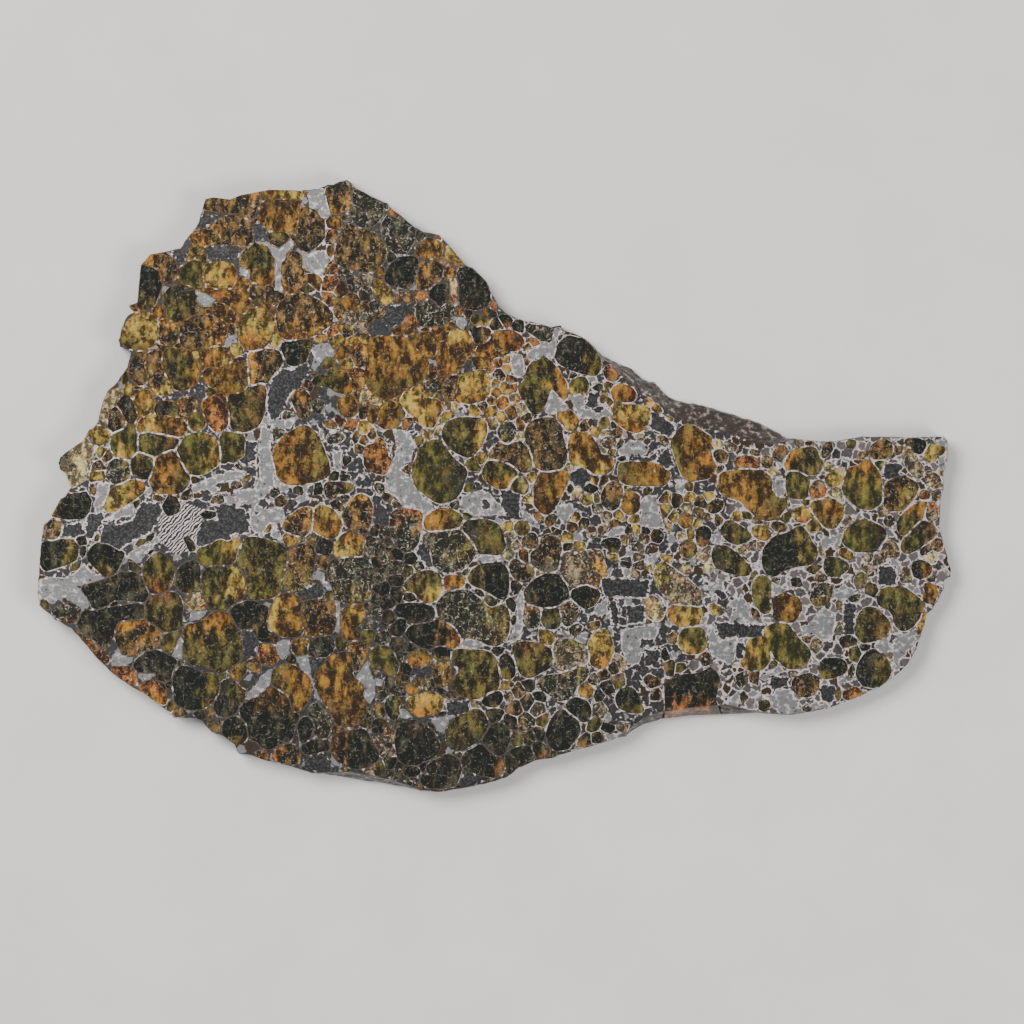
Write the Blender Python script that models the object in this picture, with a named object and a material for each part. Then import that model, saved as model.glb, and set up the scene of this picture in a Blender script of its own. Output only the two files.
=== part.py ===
"""Pallasite meteorite slice: an etched iron-nickel plate that holds olivine crystals.

The slice lies on its cut back, with its cut front facing +Z. +X runs along its length and the
origin is under the middle of its box. Lengths are in metres.

Outlines are read off the photograph by eye, as (across, down) in its own pixels, and are turned
into metres by the slice's real length.
"""
import bmesh
import bpy
from mathutils import Vector, noise

SLICE_LENGTH = 0.160
SLICE_THICKNESS = 0.004
WEST_PIXEL = 37.0
EAST_PIXEL = 951.0
NORTH_PIXEL = 179.0
SOUTH_PIXEL = 793.0
METRES_PER_PIXEL = SLICE_LENGTH / (EAST_PIXEL - WEST_PIXEL)

# The crystals sit in through pockets, and metal always stands between two pockets.
METAL_WALL = 0.0006
CRYSTAL_CLEARANCE = 0.0002
POCKET_CLEARANCE = 0.0001
BACK_TAPER = 0.06
CUTTER_OVERRUN = 0.001

# The natural edge is rough: each level of it steps inwards by its own amount.
RIM_LEVELS = (0.0, 0.3, 0.68, 1.0)
RIM_SLOPE_SHARE = (0.0, 0.12, 0.55, 1.0)
RIM_DEPTHS = (0.00035, 0.0, 0.00025, 0.00012)
RIM_GRAIN = 1400.0
WELD_DISTANCE = 0.00002

# The silhouette, clockwise from the north-west corner.
SILHOUETTE = [
    (203, 206), (205, 199), (213, 197), (230, 199), (240, 195), (255, 192), (268, 189), (300, 190),
    (318, 188), (327, 184), (333, 184), (340, 181), (347, 179), (351, 182), (355, 187), (372, 196),
    (388, 203), (392, 209), (400, 214), (414, 226), (422, 231), (440, 234), (452, 248), (466, 265),
    (473, 267), (487, 281), (490, 289), (499, 305), (505, 312), (515, 317), (525, 320), (540, 323),
    (550, 326), (561, 325), (564, 330), (574, 333), (587, 339), (597, 348), (603, 355), (613, 359),
    (622, 363), (633, 367), (643, 377), (650, 380), (656, 381), (662, 388), (670, 395), (677, 399),
    (690, 401), (703, 403), (715, 407), (728, 411), (740, 415), (750, 417), (760, 421), (770, 427),
    (780, 431), (787, 437), (797, 438), (820, 441), (840, 440), (863, 436), (885, 436), (909, 437),
    (944, 436), (948, 441), (948, 464), (944, 472), (944, 489), (941, 502), (940, 526), (945, 547),
    (948, 558), (951, 569), (951, 577), (945, 581), (944, 590), (939, 599), (933, 610), (927, 614),
    (925, 625), (921, 636), (917, 650), (908, 665), (895, 677), (880, 688), (860, 697), (828, 709),
    (808, 713), (790, 716), (757, 714), (723, 716), (690, 717), (661, 721), (645, 726), (632, 732),
    (627, 738), (616, 739), (596, 746), (574, 751), (554, 758), (536, 761), (518, 769), (507, 778),
    (484, 785), (462, 789), (440, 793), (420, 791), (402, 788), (375, 784), (350, 780), (335, 777),
    (312, 774), (290, 767), (268, 762), (252, 756), (239, 755), (234, 745), (223, 737), (210, 732),
    (202, 722), (196, 719), (174, 718), (165, 710), (143, 694), (125, 683), (109, 671), (96, 658),
    (85, 644), (71, 629), (55, 620), (39, 606), (37, 593), (38, 575), (40, 544), (43, 524),
    (49, 520), (53, 512), (60, 499), (65, 496), (70, 488), (68, 480), (66, 474), (60, 470),
    (58, 463), (60, 457), (66, 452), (82, 441), (85, 437), (88, 429), (94, 426), (98, 420),
    (101, 405), (107, 391), (118, 380), (126, 367), (130, 353), (128, 350), (119, 347), (118, 340),
    (121, 328), (127, 315), (133, 312), (129, 308), (129, 305), (137, 302), (139, 275), (140, 265),
    (150, 254), (160, 252), (180, 248), (188, 235), (195, 228), (199, 217)]

# Where the natural edge slopes in view, a silhouette point and its place on the front face.
SLOPING_EDGE = {
    (597, 348): (596, 349), (603, 355): (602, 358), (613, 359): (611, 363), (622, 363): (618, 371),
    (633, 367): (626, 378), (643, 377): (637, 388), (650, 380): (645, 393), (656, 381): (651, 397),
    (662, 388): (657, 402), (670, 395): (663, 407), (677, 399): (671, 415), (690, 401): (682, 420),
    (703, 403): (697, 425), (715, 407): (707, 428), (728, 411): (717, 430), (740, 415): (727, 432),
    (750, 417): (737, 435), (760, 421): (747, 439), (770, 427): (760, 442), (780, 431): (773, 443),
    (787, 437): (785, 440),
    (757, 714): (755, 712), (723, 716): (724, 705), (690, 717): (690, 708), (661, 721): (663, 712),
    (645, 726): (648, 717), (632, 732): (634, 726), (627, 738): (624, 735),
    (402, 788): (403, 784), (375, 784): (377, 777), (350, 780): (351, 773), (335, 777): (336, 773)}

# Each crystal's tone and its outline on the front face. Those that the slice's edge cuts reach
# past the silhouette, and are cut back to it.
CRYSTALS = {
    "olivine_top_far_west_1": ("brown", [
        (194, 232), (209, 229), (221, 221), (232, 217), (243, 220), (250, 227), (251, 239), (246, 245),
        (232, 244), (213, 243), (200, 244), (193, 240)]),
    "olivine_top_west_1": ("brown", [
        (197, 189), (230, 186), (259, 184), (260, 202), (256, 215), (250, 221), (240, 214), (222, 214),
        (206, 211), (194, 207)]),
    "olivine_top_west_2": ("amber", [
        (264, 205), (272, 201), (285, 200), (298, 201), (298, 216), (295, 227), (289, 231), (273, 230),
        (265, 226), (261, 218)]),
    "olivine_top_west_3": ("brown", [
        (301, 210), (313, 209), (319, 213), (322, 224), (322, 236), (316, 244), (306, 249), (296, 243),
        (293, 235), (299, 228)]),
    "olivine_top_west_4": ("brown", [
        (347, 226), (359, 231), (371, 234), (383, 247), (383, 258), (372, 269), (352, 267), (339, 262),
        (337, 256), (341, 240)]),
    "olivine_upper_far_west_1": ("olive", [
        (165, 352), (188, 352), (191, 363), (198, 376), (189, 386), (179, 391), (170, 380),
        (164, 365)]),
    "olivine_upper_far_west_2": ("brown", [
        (182, 322), (196, 317), (212, 319), (225, 326), (221, 342), (205, 347), (187, 347),
        (180, 336)]),
    "olivine_upper_far_west_3": ("amber", [
        (208, 370), (222, 371), (233, 364), (243, 358), (246, 372), (246, 384), (238, 391), (223, 389),
        (210, 383), (205, 376)]),
    "olivine_upper_west_1": ("olive", [
        (230, 396), (240, 395), (253, 388), (262, 384), (264, 395), (262, 413), (257, 423), (248, 429),
        (234, 429), (231, 412)]),
    "olivine_upper_west_2": ("golden", [
        (243, 317), (252, 311), (264, 311), (271, 319), (271, 332), (264, 345), (253, 350), (243, 343),
        (239, 330)]),
    "olivine_upper_west_3": ("brown", [
        (282, 303), (297, 295), (313, 300), (324, 307), (331, 316), (329, 323), (319, 330), (305, 337),
        (288, 340), (281, 330), (279, 316)]),
    "olivine_upper_west_4": ("amber", [
        (372, 342), (384, 339), (405, 340), (412, 349), (421, 356), (426, 363), (426, 369), (422, 377),
        (420, 382), (411, 385), (400, 389), (393, 395), (385, 396), (376, 391), (370, 386),
        (368, 376)]),
    "olivine_upper_middle_1": ("olive", [
        (529, 370), (537, 361), (544, 360), (549, 363), (555, 370), (559, 376), (564, 384), (567, 392),
        (564, 399), (554, 389), (549, 388), (545, 398), (540, 409), (535, 413), (530, 405), (520, 389),
        (528, 380)]),
    "olivine_upper_east_1": ("dark_olive", [
        (555, 351), (560, 346), (568, 338), (583, 342), (591, 350), (598, 360), (599, 366), (596, 373),
        (592, 373), (582, 371), (569, 366), (560, 361)]),
    "olivine_centre_far_west_1": ("dark_olive", [
        (71, 493), (87, 490), (93, 500), (91, 512), (84, 520), (68, 521), (57, 519), (42, 515),
        (50, 496), (62, 485)]),
    "olivine_centre_far_west_2": ("cream", [
        (84, 433), (95, 446), (94, 460), (88, 468), (88, 479), (80, 485), (72, 489), (58, 490),
        (48, 470), (52, 448), (70, 436)]),
    "olivine_centre_far_west_3": ("amber", [
        (156, 461), (163, 456), (173, 452), (178, 461), (184, 474), (188, 477), (186, 484), (179, 491),
        (169, 491), (157, 491), (151, 480), (155, 470)]),
    "olivine_centre_far_west_4": ("yellow_green", [
        (178, 450), (187, 439), (198, 435), (211, 438), (217, 447), (219, 456), (215, 464), (208, 469),
        (199, 473), (189, 471), (183, 460)]),
    "olivine_centre_west_1": ("amber", [
        (277, 448), (288, 436), (305, 427), (311, 432), (317, 438), (322, 452), (326, 463), (327, 474),
        (319, 478), (300, 482), (288, 482), (280, 476), (275, 466)]),
    "olivine_centre_middle_1": ("smoky", [
        (393, 516), (397, 512), (406, 510), (419, 510), (421, 514), (419, 522), (418, 532), (416, 541),
        (412, 547), (408, 550), (403, 548), (398, 543), (395, 537), (393, 526)]),
    "olivine_centre_middle_2": ("yellow_green", [
        (421, 451), (428, 445), (434, 442), (440, 444), (445, 451), (451, 460), (458, 466), (465, 471),
        (463, 478), (460, 487), (456, 494), (452, 498), (441, 501), (433, 498), (423, 493), (416, 488),
        (414, 478), (416, 466), (419, 459)]),
    "olivine_centre_middle_3": ("olive", [
        (444, 432), (448, 424), (456, 421), (467, 420), (481, 421), (484, 424), (484, 433), (479, 445),
        (474, 451), (469, 455), (463, 453), (453, 448), (447, 442)]),
    "olivine_centre_middle_4": ("olive", [
        (465, 525), (471, 523), (484, 522), (492, 524), (498, 528), (501, 538), (503, 547), (499, 552),
        (490, 553), (481, 553), (479, 548), (474, 540), (467, 532)]),
    "olivine_centre_middle_5": ("brown", [
        (528, 429), (536, 422), (550, 420), (561, 427), (564, 440), (566, 455), (561, 466), (545, 470),
        (535, 463), (532, 450), (528, 440)]),
    "olivine_centre_east_1": ("amber", [
        (569, 441), (575, 434), (589, 437), (595, 446), (599, 457), (611, 460), (612, 465), (607, 471),
        (595, 472), (581, 466), (571, 459), (568, 450)]),
    "olivine_centre_east_2": ("amber", [
        (621, 466), (626, 462), (650, 462), (662, 466), (668, 473), (667, 480), (663, 483), (642, 483),
        (627, 482), (621, 478)]),
    "olivine_centre_east_3": ("amber", [
        (673, 442), (679, 434), (683, 428), (691, 427), (703, 435), (710, 440), (708, 447), (709, 457),
        (713, 465), (712, 472), (707, 476), (695, 478), (686, 478), (682, 469), (678, 457)]),
    "olivine_centre_far_east_1": ("amber", [
        (721, 482), (722, 475), (732, 474), (754, 471), (763, 474), (769, 480), (769, 491), (775, 497),
        (784, 499), (785, 504), (780, 511), (776, 517), (767, 518), (758, 515), (750, 507), (741, 498),
        (730, 495), (722, 491)]),
    "olivine_centre_far_east_2": ("yellow_green", [
        (847, 476), (848, 471), (860, 468), (866, 462), (870, 465), (874, 470), (878, 477), (879, 486),
        (881, 495), (878, 503), (871, 507), (860, 506), (853, 500), (846, 493), (845, 486)]),
    "olivine_lower_far_west_1": ("dark_olive", [
        (82, 613), (96, 614), (106, 611), (122, 609), (134, 607), (143, 606), (142, 616), (130, 618),
        (117, 618), (114, 628), (110, 636), (107, 644), (104, 647), (97, 641), (88, 632), (79, 624)]),
    "olivine_lower_far_west_2": ("dark_olive", [
        (82, 589), (92, 586), (106, 580), (114, 578), (123, 575), (134, 575), (139, 579), (143, 588),
        (146, 594), (144, 602), (137, 598), (126, 597), (114, 597), (105, 603), (97, 607), (93, 605),
        (91, 600), (86, 593)]),
    "olivine_lower_far_west_3": ("brown", [
        (120, 624), (128, 623), (144, 622), (150, 624), (157, 630), (161, 634), (158, 640), (156, 645),
        (148, 647), (142, 648), (136, 653), (132, 656), (126, 655), (121, 649), (119, 642),
        (117, 634)]),
    "olivine_lower_far_west_4": ("olive", [
        (150, 599), (156, 597), (166, 595), (174, 595), (179, 600), (180, 607), (181, 616), (181, 625),
        (175, 629), (163, 629), (154, 624), (147, 617), (147, 608)]),
    "olivine_lower_far_west_5": ("olive", [
        (186, 630), (191, 627), (201, 625), (211, 618), (216, 614), (225, 614), (230, 619), (236, 629),
        (239, 637), (240, 648), (239, 657), (234, 661), (227, 666), (223, 669), (219, 670), (212, 666),
        (200, 664), (193, 662), (187, 658), (184, 650), (184, 638)]),
    "olivine_lower_far_west_6": ("olive", [
        (208, 570), (214, 568), (226, 569), (235, 570), (241, 575), (243, 581), (244, 590), (242, 595),
        (237, 598), (229, 603), (225, 608), (218, 608), (211, 607), (208, 603), (205, 598), (204, 590),
        (204, 580), (205, 574)]),
    "olivine_lower_west_1": ("dark_olive", [
        (232, 612), (237, 608), (246, 604), (254, 604), (260, 608), (266, 609), (264, 620), (265, 630),
        (272, 636), (279, 639), (274, 642), (262, 641), (256, 632), (253, 626), (245, 627), (240, 628),
        (236, 622)]),
    "olivine_lower_west_2": ("olive", [
        (245, 543), (252, 539), (263, 542), (276, 545), (282, 549), (285, 556), (285, 564), (281, 572),
        (279, 580), (279, 589), (275, 594), (266, 596), (255, 597), (251, 594), (248, 588), (248, 578),
        (245, 568), (240, 562), (243, 552)]),
    "olivine_lower_west_3": ("amber", [
        (276, 606), (278, 599), (285, 596), (297, 599), (300, 604), (299, 613), (301, 621), (303, 629),
        (300, 634), (292, 634), (284, 634), (277, 631), (271, 628), (270, 620), (273, 612)]),
    "olivine_lower_west_4": ("brown", [
        (291, 551), (300, 547), (309, 547), (313, 553), (311, 561), (310, 570), (309, 580), (302, 588),
        (298, 590), (289, 588), (284, 586), (284, 576), (290, 566)]),
    "olivine_lower_west_5": ("brown", [
        (304, 604), (313, 602), (326, 602), (335, 604), (335, 615), (335, 627), (330, 632), (318, 634),
        (307, 634), (305, 627), (303, 614)]),
    "olivine_lower_west_6": ("smoky", [
        (334, 562), (341, 560), (350, 559), (361, 560), (368, 564), (370, 573), (368, 585), (368, 599),
        (358, 600), (346, 600), (339, 598), (336, 590), (332, 580), (330, 571)]),
    "olivine_lower_middle_1": ("smoky", [
        (424, 536), (433, 534), (448, 533), (456, 532), (464, 536), (470, 543), (474, 550), (472, 556),
        (466, 563), (460, 568), (450, 569), (442, 569), (436, 564), (434, 555), (432, 546),
        (426, 541)]),
    "olivine_lower_middle_2": ("smoky", [
        (439, 605), (444, 599), (449, 595), (462, 592), (470, 594), (479, 602), (487, 610), (495, 611),
        (501, 607), (506, 610), (507, 620), (506, 631), (503, 640), (497, 643), (488, 643), (479, 640),
        (467, 638), (463, 636), (458, 627), (449, 620), (441, 616), (439, 611)]),
    "olivine_lower_middle_3": ("olive", [
        (514, 646), (524, 644), (539, 646), (549, 651), (553, 659), (548, 666), (540, 670), (530, 675),
        (523, 674), (520, 667), (518, 658)]),
    "olivine_lower_middle_4": ("dark_olive", [
        (529, 589), (534, 583), (541, 579), (550, 576), (557, 577), (560, 582), (565, 589), (566, 597),
        (562, 601), (551, 605), (539, 604), (530, 601), (526, 597), (526, 592)]),
    "olivine_lower_east_1": ("tan", [
        (564, 557), (567, 554), (575, 558), (585, 554), (599, 552), (601, 558), (602, 566), (605, 569),
        (602, 575), (599, 582), (597, 586), (588, 582), (576, 584), (572, 586), (568, 579), (562, 571),
        (563, 564)]),
    "olivine_lower_east_2": ("tan", [
        (659, 568), (662, 564), (668, 568), (675, 574), (682, 578), (690, 585), (698, 592), (700, 600),
        (698, 606), (690, 604), (680, 604), (672, 600), (666, 592), (660, 586), (658, 580),
        (657, 574)]),
    "olivine_lower_far_east_1": ("yellow_green", [
        (751, 640), (759, 637), (765, 636), (768, 629), (777, 625), (786, 626), (791, 633), (799, 643),
        (806, 649), (809, 655), (804, 662), (797, 666), (788, 666), (780, 659), (774, 653), (770, 650),
        (767, 660), (762, 667), (751, 668), (744, 665), (743, 661), (748, 650)]),
    "olivine_lower_far_east_2": ("dark_olive", [
        (765, 551), (771, 544), (777, 538), (790, 535), (800, 528), (804, 532), (809, 541), (815, 552),
        (814, 557), (810, 562), (799, 563), (780, 569), (776, 574), (768, 572), (765, 562)]),
    "olivine_lower_far_east_3": ("olive", [
        (882, 593), (890, 588), (900, 589), (907, 592), (914, 598), (919, 602), (922, 611), (919, 619),
        (913, 624), (905, 628), (902, 629), (898, 624), (895, 614), (889, 606), (882, 605),
        (879, 600)]),
    "olivine_bottom_far_west_1": ("dark_olive", [
        (178, 673), (183, 668), (192, 672), (202, 676), (212, 676), (217, 681), (217, 692), (212, 699),
        (204, 705), (190, 707), (179, 703), (177, 696), (176, 682)]),
    "olivine_bottom_west_1": ("dark_olive", [
        (245, 705), (251, 703), (259, 696), (266, 691), (272, 690), (282, 696), (288, 702), (290, 714),
        (299, 716), (296, 719), (293, 722), (291, 729), (290, 737), (283, 739), (275, 743), (269, 747),
        (263, 744), (259, 739), (252, 737), (249, 729), (248, 720), (243, 714), (242, 709)]),
    "olivine_bottom_west_2": ("amber", [
        (274, 673), (281, 668), (290, 667), (297, 671), (303, 676), (308, 683), (309, 690), (305, 700),
        (301, 706), (297, 710), (293, 709), (293, 703), (292, 697), (286, 691), (277, 685),
        (272, 682)]),
    "olivine_bottom_west_3": ("amber", [
        (319, 669), (325, 663), (336, 657), (345, 654), (349, 659), (351, 666), (349, 675), (354, 681),
        (361, 688), (362, 698), (363, 712), (359, 719), (351, 724), (342, 724), (335, 717), (330, 707),
        (324, 697), (318, 684)]),
    "olivine_bottom_west_4": ("dark_olive", [
        (335, 739), (343, 734), (356, 733), (364, 731), (369, 743), (375, 753), (377, 758), (371, 761),
        (363, 766), (351, 765), (341, 760), (334, 752), (333, 745)]),
    "olivine_bottom_middle_1": ("dark_olive", [
        (401, 727), (413, 722), (423, 728), (434, 737), (438, 748), (433, 754), (423, 758), (417, 762),
        (407, 763), (400, 756), (398, 745), (399, 735)]),
    "olivine_bottom_middle_2": ("olive", [
        (454, 723), (463, 714), (472, 712), (479, 711), (484, 719), (486, 728), (479, 736), (472, 743),
        (466, 746), (455, 748), (449, 741), (449, 732)]),
    "olivine_bottom_middle_3": ("olive", [
        (456, 652), (470, 652), (487, 654), (494, 660), (496, 668), (497, 680), (496, 688), (488, 692),
        (478, 696), (469, 696), (461, 692), (454, 687), (454, 679), (460, 670), (455, 662),
        (453, 656)]),
    "olivine_bottom_east_1": ("dark_olive", [
        (673, 678), (683, 673), (698, 672), (711, 666), (718, 671), (722, 680), (719, 690), (717, 700),
        (722, 712), (723, 724), (690, 726), (662, 729), (664, 706), (663, 690), (663, 678)]),
}

# Tone of the clear or clouded olivine: base colour, roughness and alpha.
TONES = {
    "dark_olive": ((0.035, 0.040, 0.030), 0.12, 0.85),
    "olive": ((0.120, 0.115, 0.040), 0.15, 0.80),
    "yellow_green": ((0.260, 0.260, 0.060), 0.15, 0.75),
    "golden": ((0.520, 0.320, 0.050), 0.15, 0.75),
    "amber": ((0.400, 0.160, 0.030), 0.15, 0.75),
    "brown": ((0.120, 0.065, 0.030), 0.20, 0.85),
    "red_amber": ((0.330, 0.080, 0.030), 0.20, 0.80),
    "cream": ((0.520, 0.430, 0.220), 0.35, 0.95),
    "smoky": ((0.090, 0.085, 0.070), 0.25, 0.90),
    "tan": ((0.230, 0.180, 0.120), 0.30, 0.90)}
METAL_COLOUR = (0.42, 0.41, 0.40)
METAL_ROUGHNESS = 0.35


def collection_named(name):
    """A new collection in the scene."""
    collection = bpy.data.collections.new(name)
    bpy.context.scene.collection.children.link(collection)
    return collection


def material_named(name, colour, metallic, roughness, alpha=1.0):
    """A Principled material with one plain finish."""
    material = bpy.data.materials.new(name)
    material.use_nodes = True
    shader = material.node_tree.nodes["Principled BSDF"]
    shader.inputs["Base Color"].default_value = (*colour, 1.0)
    shader.inputs["Metallic"].default_value = metallic
    shader.inputs["Roughness"].default_value = roughness
    shader.inputs["Alpha"].default_value = alpha
    material.diffuse_color = (*colour, alpha)
    return material


def in_metres(pixel):
    """A photograph point as an (x, y) vector on the slice."""
    across, down = pixel
    x = (across - (WEST_PIXEL + EAST_PIXEL) / 2) * METRES_PER_PIXEL
    y = ((NORTH_PIXEL + SOUTH_PIXEL) / 2 - down) * METRES_PER_PIXEL
    return Vector((x, y))


def anticlockwise(outline):
    """The outline in anticlockwise order."""
    doubled_area = sum(a.x * b.y - b.x * a.y for a, b in zip(outline, outline[1:] + outline[:1]))
    return outline if doubled_area > 0 else outline[::-1]


def middle_of(outline):
    """The mean of the outline's points."""
    return sum(outline, Vector((0.0, 0.0))) / len(outline)


def stepped(outline, distance):
    """The outline moved outwards all round by a distance, or inwards by a negative one."""
    moved = []
    for index, point in enumerate(outline):
        before = (point - outline[index - 1]).normalized()
        after = (outline[(index + 1) % len(outline)] - point).normalized()
        outward = Vector((before.y + after.y, -before.x - after.x)).normalized()
        sharpness = max(outward.dot(Vector((after.y, -after.x))), 0.5)
        moved.append(point + outward * distance / sharpness)
    return moved


def gap_to_edge(point, start, end):
    """Distance from a point to one straight edge."""
    run = end - start
    share = max(0.0, min(1.0, (point - start).dot(run) / run.length_squared))
    return (point - start - run * share).length


def gap_to_outline(point, outline):
    """Distance from a point to the nearest edge of an outline."""
    edges = zip(outline, outline[1:] + outline[:1])
    return min(gap_to_edge(point, start, end) for start, end in edges)


def held_apart(outlines):
    """The outlines with METAL_WALL between them.

    A point that is nearer than the wall to a neighbour is drawn back towards its own middle.
    """
    apart = {name: list(outline) for name, outline in outlines.items()}
    reach = {name: max((p - middle_of(o)).length for p in o) for name, o in apart.items()}
    for name, outline in apart.items():
        middle = middle_of(outline)
        for other, neighbour in apart.items():
            far = (middle_of(neighbour) - middle).length > reach[name] + reach[other] + METAL_WALL
            if other == name or far:
                continue
            for index in range(len(outline)):
                while gap_to_outline(outline[index], neighbour) < METAL_WALL:
                    outline[index] = outline[index].lerp(middle, 0.03)
    return apart


def prism(name, outline, bottom, top):
    """Mesh of an outline with walls that close in by BACK_TAPER towards the back face."""
    curve = bpy.data.curves.new(name, "CURVE")
    curve.dimensions = "2D"
    curve.fill_mode = "BOTH"
    curve.extrude = (top - bottom) / 2
    spline = curve.splines.new("POLY")
    spline.points.add(len(outline) - 1)
    for point, place in zip(spline.points, outline):
        point.co = (place.x, place.y, 0.0, 1.0)
    spline.use_cyclic_u = True
    guide = bpy.data.objects.new(name, curve)
    bpy.context.scene.collection.objects.link(guide)
    mesh = bpy.data.meshes.new_from_object(guide.evaluated_get(bpy.context.evaluated_depsgraph_get()))
    bpy.data.objects.remove(guide)
    bpy.data.curves.remove(curve)
    mesh.name = name
    shape = bmesh.new()
    shape.from_mesh(mesh)
    bmesh.ops.remove_doubles(shape, verts=shape.verts, dist=WELD_DISTANCE)
    bmesh.ops.translate(shape, verts=shape.verts, vec=(0.0, 0.0, (top + bottom) / 2))
    middle = middle_of(outline)
    for vertex in shape.verts:
        depth_share = (SLICE_THICKNESS - vertex.co.z) / SLICE_THICKNESS
        place = middle.lerp(vertex.co.xy, 1.0 - BACK_TAPER * depth_share)
        vertex.co.xy = place
    bmesh.ops.recalc_face_normals(shape, faces=shape.faces)
    shape.to_mesh(mesh)
    shape.free()
    return mesh


def rim_ring(level):
    """The slice's edge at one of the rim levels, as points in space, anticlockwise."""
    silhouette = [in_metres(pixel) for pixel in SILHOUETTE]
    front = [in_metres(SLOPING_EDGE.get(pixel, pixel)) for pixel in SILHOUETTE]
    share = RIM_SLOPE_SHARE[level]
    ring = [low.lerp(high, share) for low, high in zip(silhouette, front)][::-1]
    height = RIM_LEVELS[level] * SLICE_THICKNESS
    inner = stepped(ring, -1.0)
    rough = []
    for point, inward in zip(ring, inner):
        grain = 0.5 + 0.5 * noise.noise(Vector((point.x * RIM_GRAIN, point.y * RIM_GRAIN, level)))
        place = point + (inward - point).normalized() * RIM_DEPTHS[level] * grain
        rough.append(Vector((place.x, place.y, height)))
    return rough


def slab_mesh(name):
    """Mesh of the whole slice before its pockets: rings of the rough edge between two flat faces."""
    shape = bmesh.new()
    rings = [[shape.verts.new(place) for place in rim_ring(level)] for level in range(len(RIM_LEVELS))]
    for low, high in zip(rings, rings[1:]):
        for index in range(len(low)):
            follow = (index + 1) % len(low)
            shape.faces.new((low[index], low[follow], high[follow], high[index]))
    shape.faces.new(rings[0][::-1])
    shape.faces.new(rings[-1])
    mesh = bpy.data.meshes.new(name)
    shape.to_mesh(mesh)
    shape.free()
    return mesh


def link(name, mesh, material, collection):
    """An object of a mesh, in a material and a collection."""
    piece = bpy.data.objects.new(name, mesh)
    mesh.materials.clear()
    mesh.materials.append(material)
    collection.objects.link(piece)
    return piece


def cutter(name, mesh, collection):
    """An object that only cuts others: a wire that no render shows."""
    piece = bpy.data.objects.new(name, mesh)
    collection.objects.link(piece)
    piece.hide_render = True
    piece.display_type = "WIRE"
    return piece


def joined(name, meshes):
    """One mesh of several that don't touch."""
    shape = bmesh.new()
    for mesh in meshes:
        shape.from_mesh(mesh)
        bpy.data.meshes.remove(mesh)
    whole = bpy.data.meshes.new(name)
    shape.to_mesh(whole)
    shape.free()
    return whole


def add_boolean(piece, operand, operation):
    """Cut a piece by an operand, or keep only what both share."""
    boolean = piece.modifiers.new(operation.title(), "BOOLEAN")
    boolean.operation = operation
    boolean.object = operand


def reaches_past_edge(outline_pixels, slab_ring):
    """Whether a crystal's outline crosses the slice's edge."""
    def is_inside(point):
        crossings = 0
        for start, end in zip(slab_ring, slab_ring[1:] + slab_ring[:1]):
            if (start.y > point.y) != (end.y > point.y):
                rise = (point.y - start.y) / (end.y - start.y)
                crossings += point.x < start.x + (end.x - start.x) * rise
        return crossings % 2 == 1
    return not all(is_inside(in_metres(pixel)) for pixel in outline_pixels)


def crystal_outlines():
    """Each crystal's outline in metres, anticlockwise and held apart from its neighbours."""
    outlines = {}
    for name, (_, pixels) in CRYSTALS.items():
        outlines[name] = anticlockwise([in_metres(pixel) for pixel in pixels])
    return held_apart(outlines)


def build_crystals(outlines, slab, parts):
    """One solid for each crystal, flush with both faces of the slice."""
    materials = {}
    for tone, (colour, roughness, alpha) in TONES.items():
        materials[tone] = material_named("olivine_" + tone, colour, 0.0, roughness, alpha)
    silhouette = [in_metres(pixel) for pixel in SILHOUETTE]
    for name, (tone, pixels) in CRYSTALS.items():
        outline = stepped(outlines[name], -CRYSTAL_CLEARANCE)
        crystal = link(name, prism(name, outline, 0.0, SLICE_THICKNESS), materials[tone], parts)
        if reaches_past_edge(pixels, silhouette):
            crystal.data = prism(name, outline, -CUTTER_OVERRUN, SLICE_THICKNESS + CUTTER_OVERRUN)
            crystal.data.materials.append(materials[tone])
            add_boolean(crystal, slab, "INTERSECT")


def build_metal(outlines, parts, cutters):
    """The metal network: the whole slice less a pocket for every crystal."""
    pockets = []
    for name, outline in outlines.items():
        wide = stepped(outline, POCKET_CLEARANCE)
        pockets.append(prism(name, wide, -CUTTER_OVERRUN, SLICE_THICKNESS + CUTTER_OVERRUN))
    pocket_cutter = cutter("pockets", joined("pockets", pockets), cutters)
    metal = material_named("iron_nickel", METAL_COLOUR, 1.0, METAL_ROUGHNESS)
    matrix = link("metal_matrix", slab_mesh("metal_matrix"), metal, parts)
    add_boolean(matrix, pocket_cutter, "DIFFERENCE")


def main():
    """Clear the scene and build the slice."""
    for leftover in list(bpy.data.objects):
        bpy.data.objects.remove(leftover)
    parts = collection_named("Pallasite slice")
    cutters = collection_named("Cutters")
    outlines = crystal_outlines()
    slab = cutter("slab_blank", slab_mesh("slab_blank"), cutters)
    build_metal(outlines, parts, cutters)
    build_crystals(outlines, slab, parts)


main()
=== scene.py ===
"""The finished pallasite slice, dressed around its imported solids.

The slice lies on its back face at z = 0 with its polished front face up, and the camera looks straight
down on it. Lengths are in millimetres while the mosaic is laid out, and in metres in every mesh.
"""

import logging
import math
import random
import sys
from dataclasses import dataclass, field
from enum import Enum

import bmesh
import bpy
import numpy as np
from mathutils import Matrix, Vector, geometry, kdtree, noise

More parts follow.
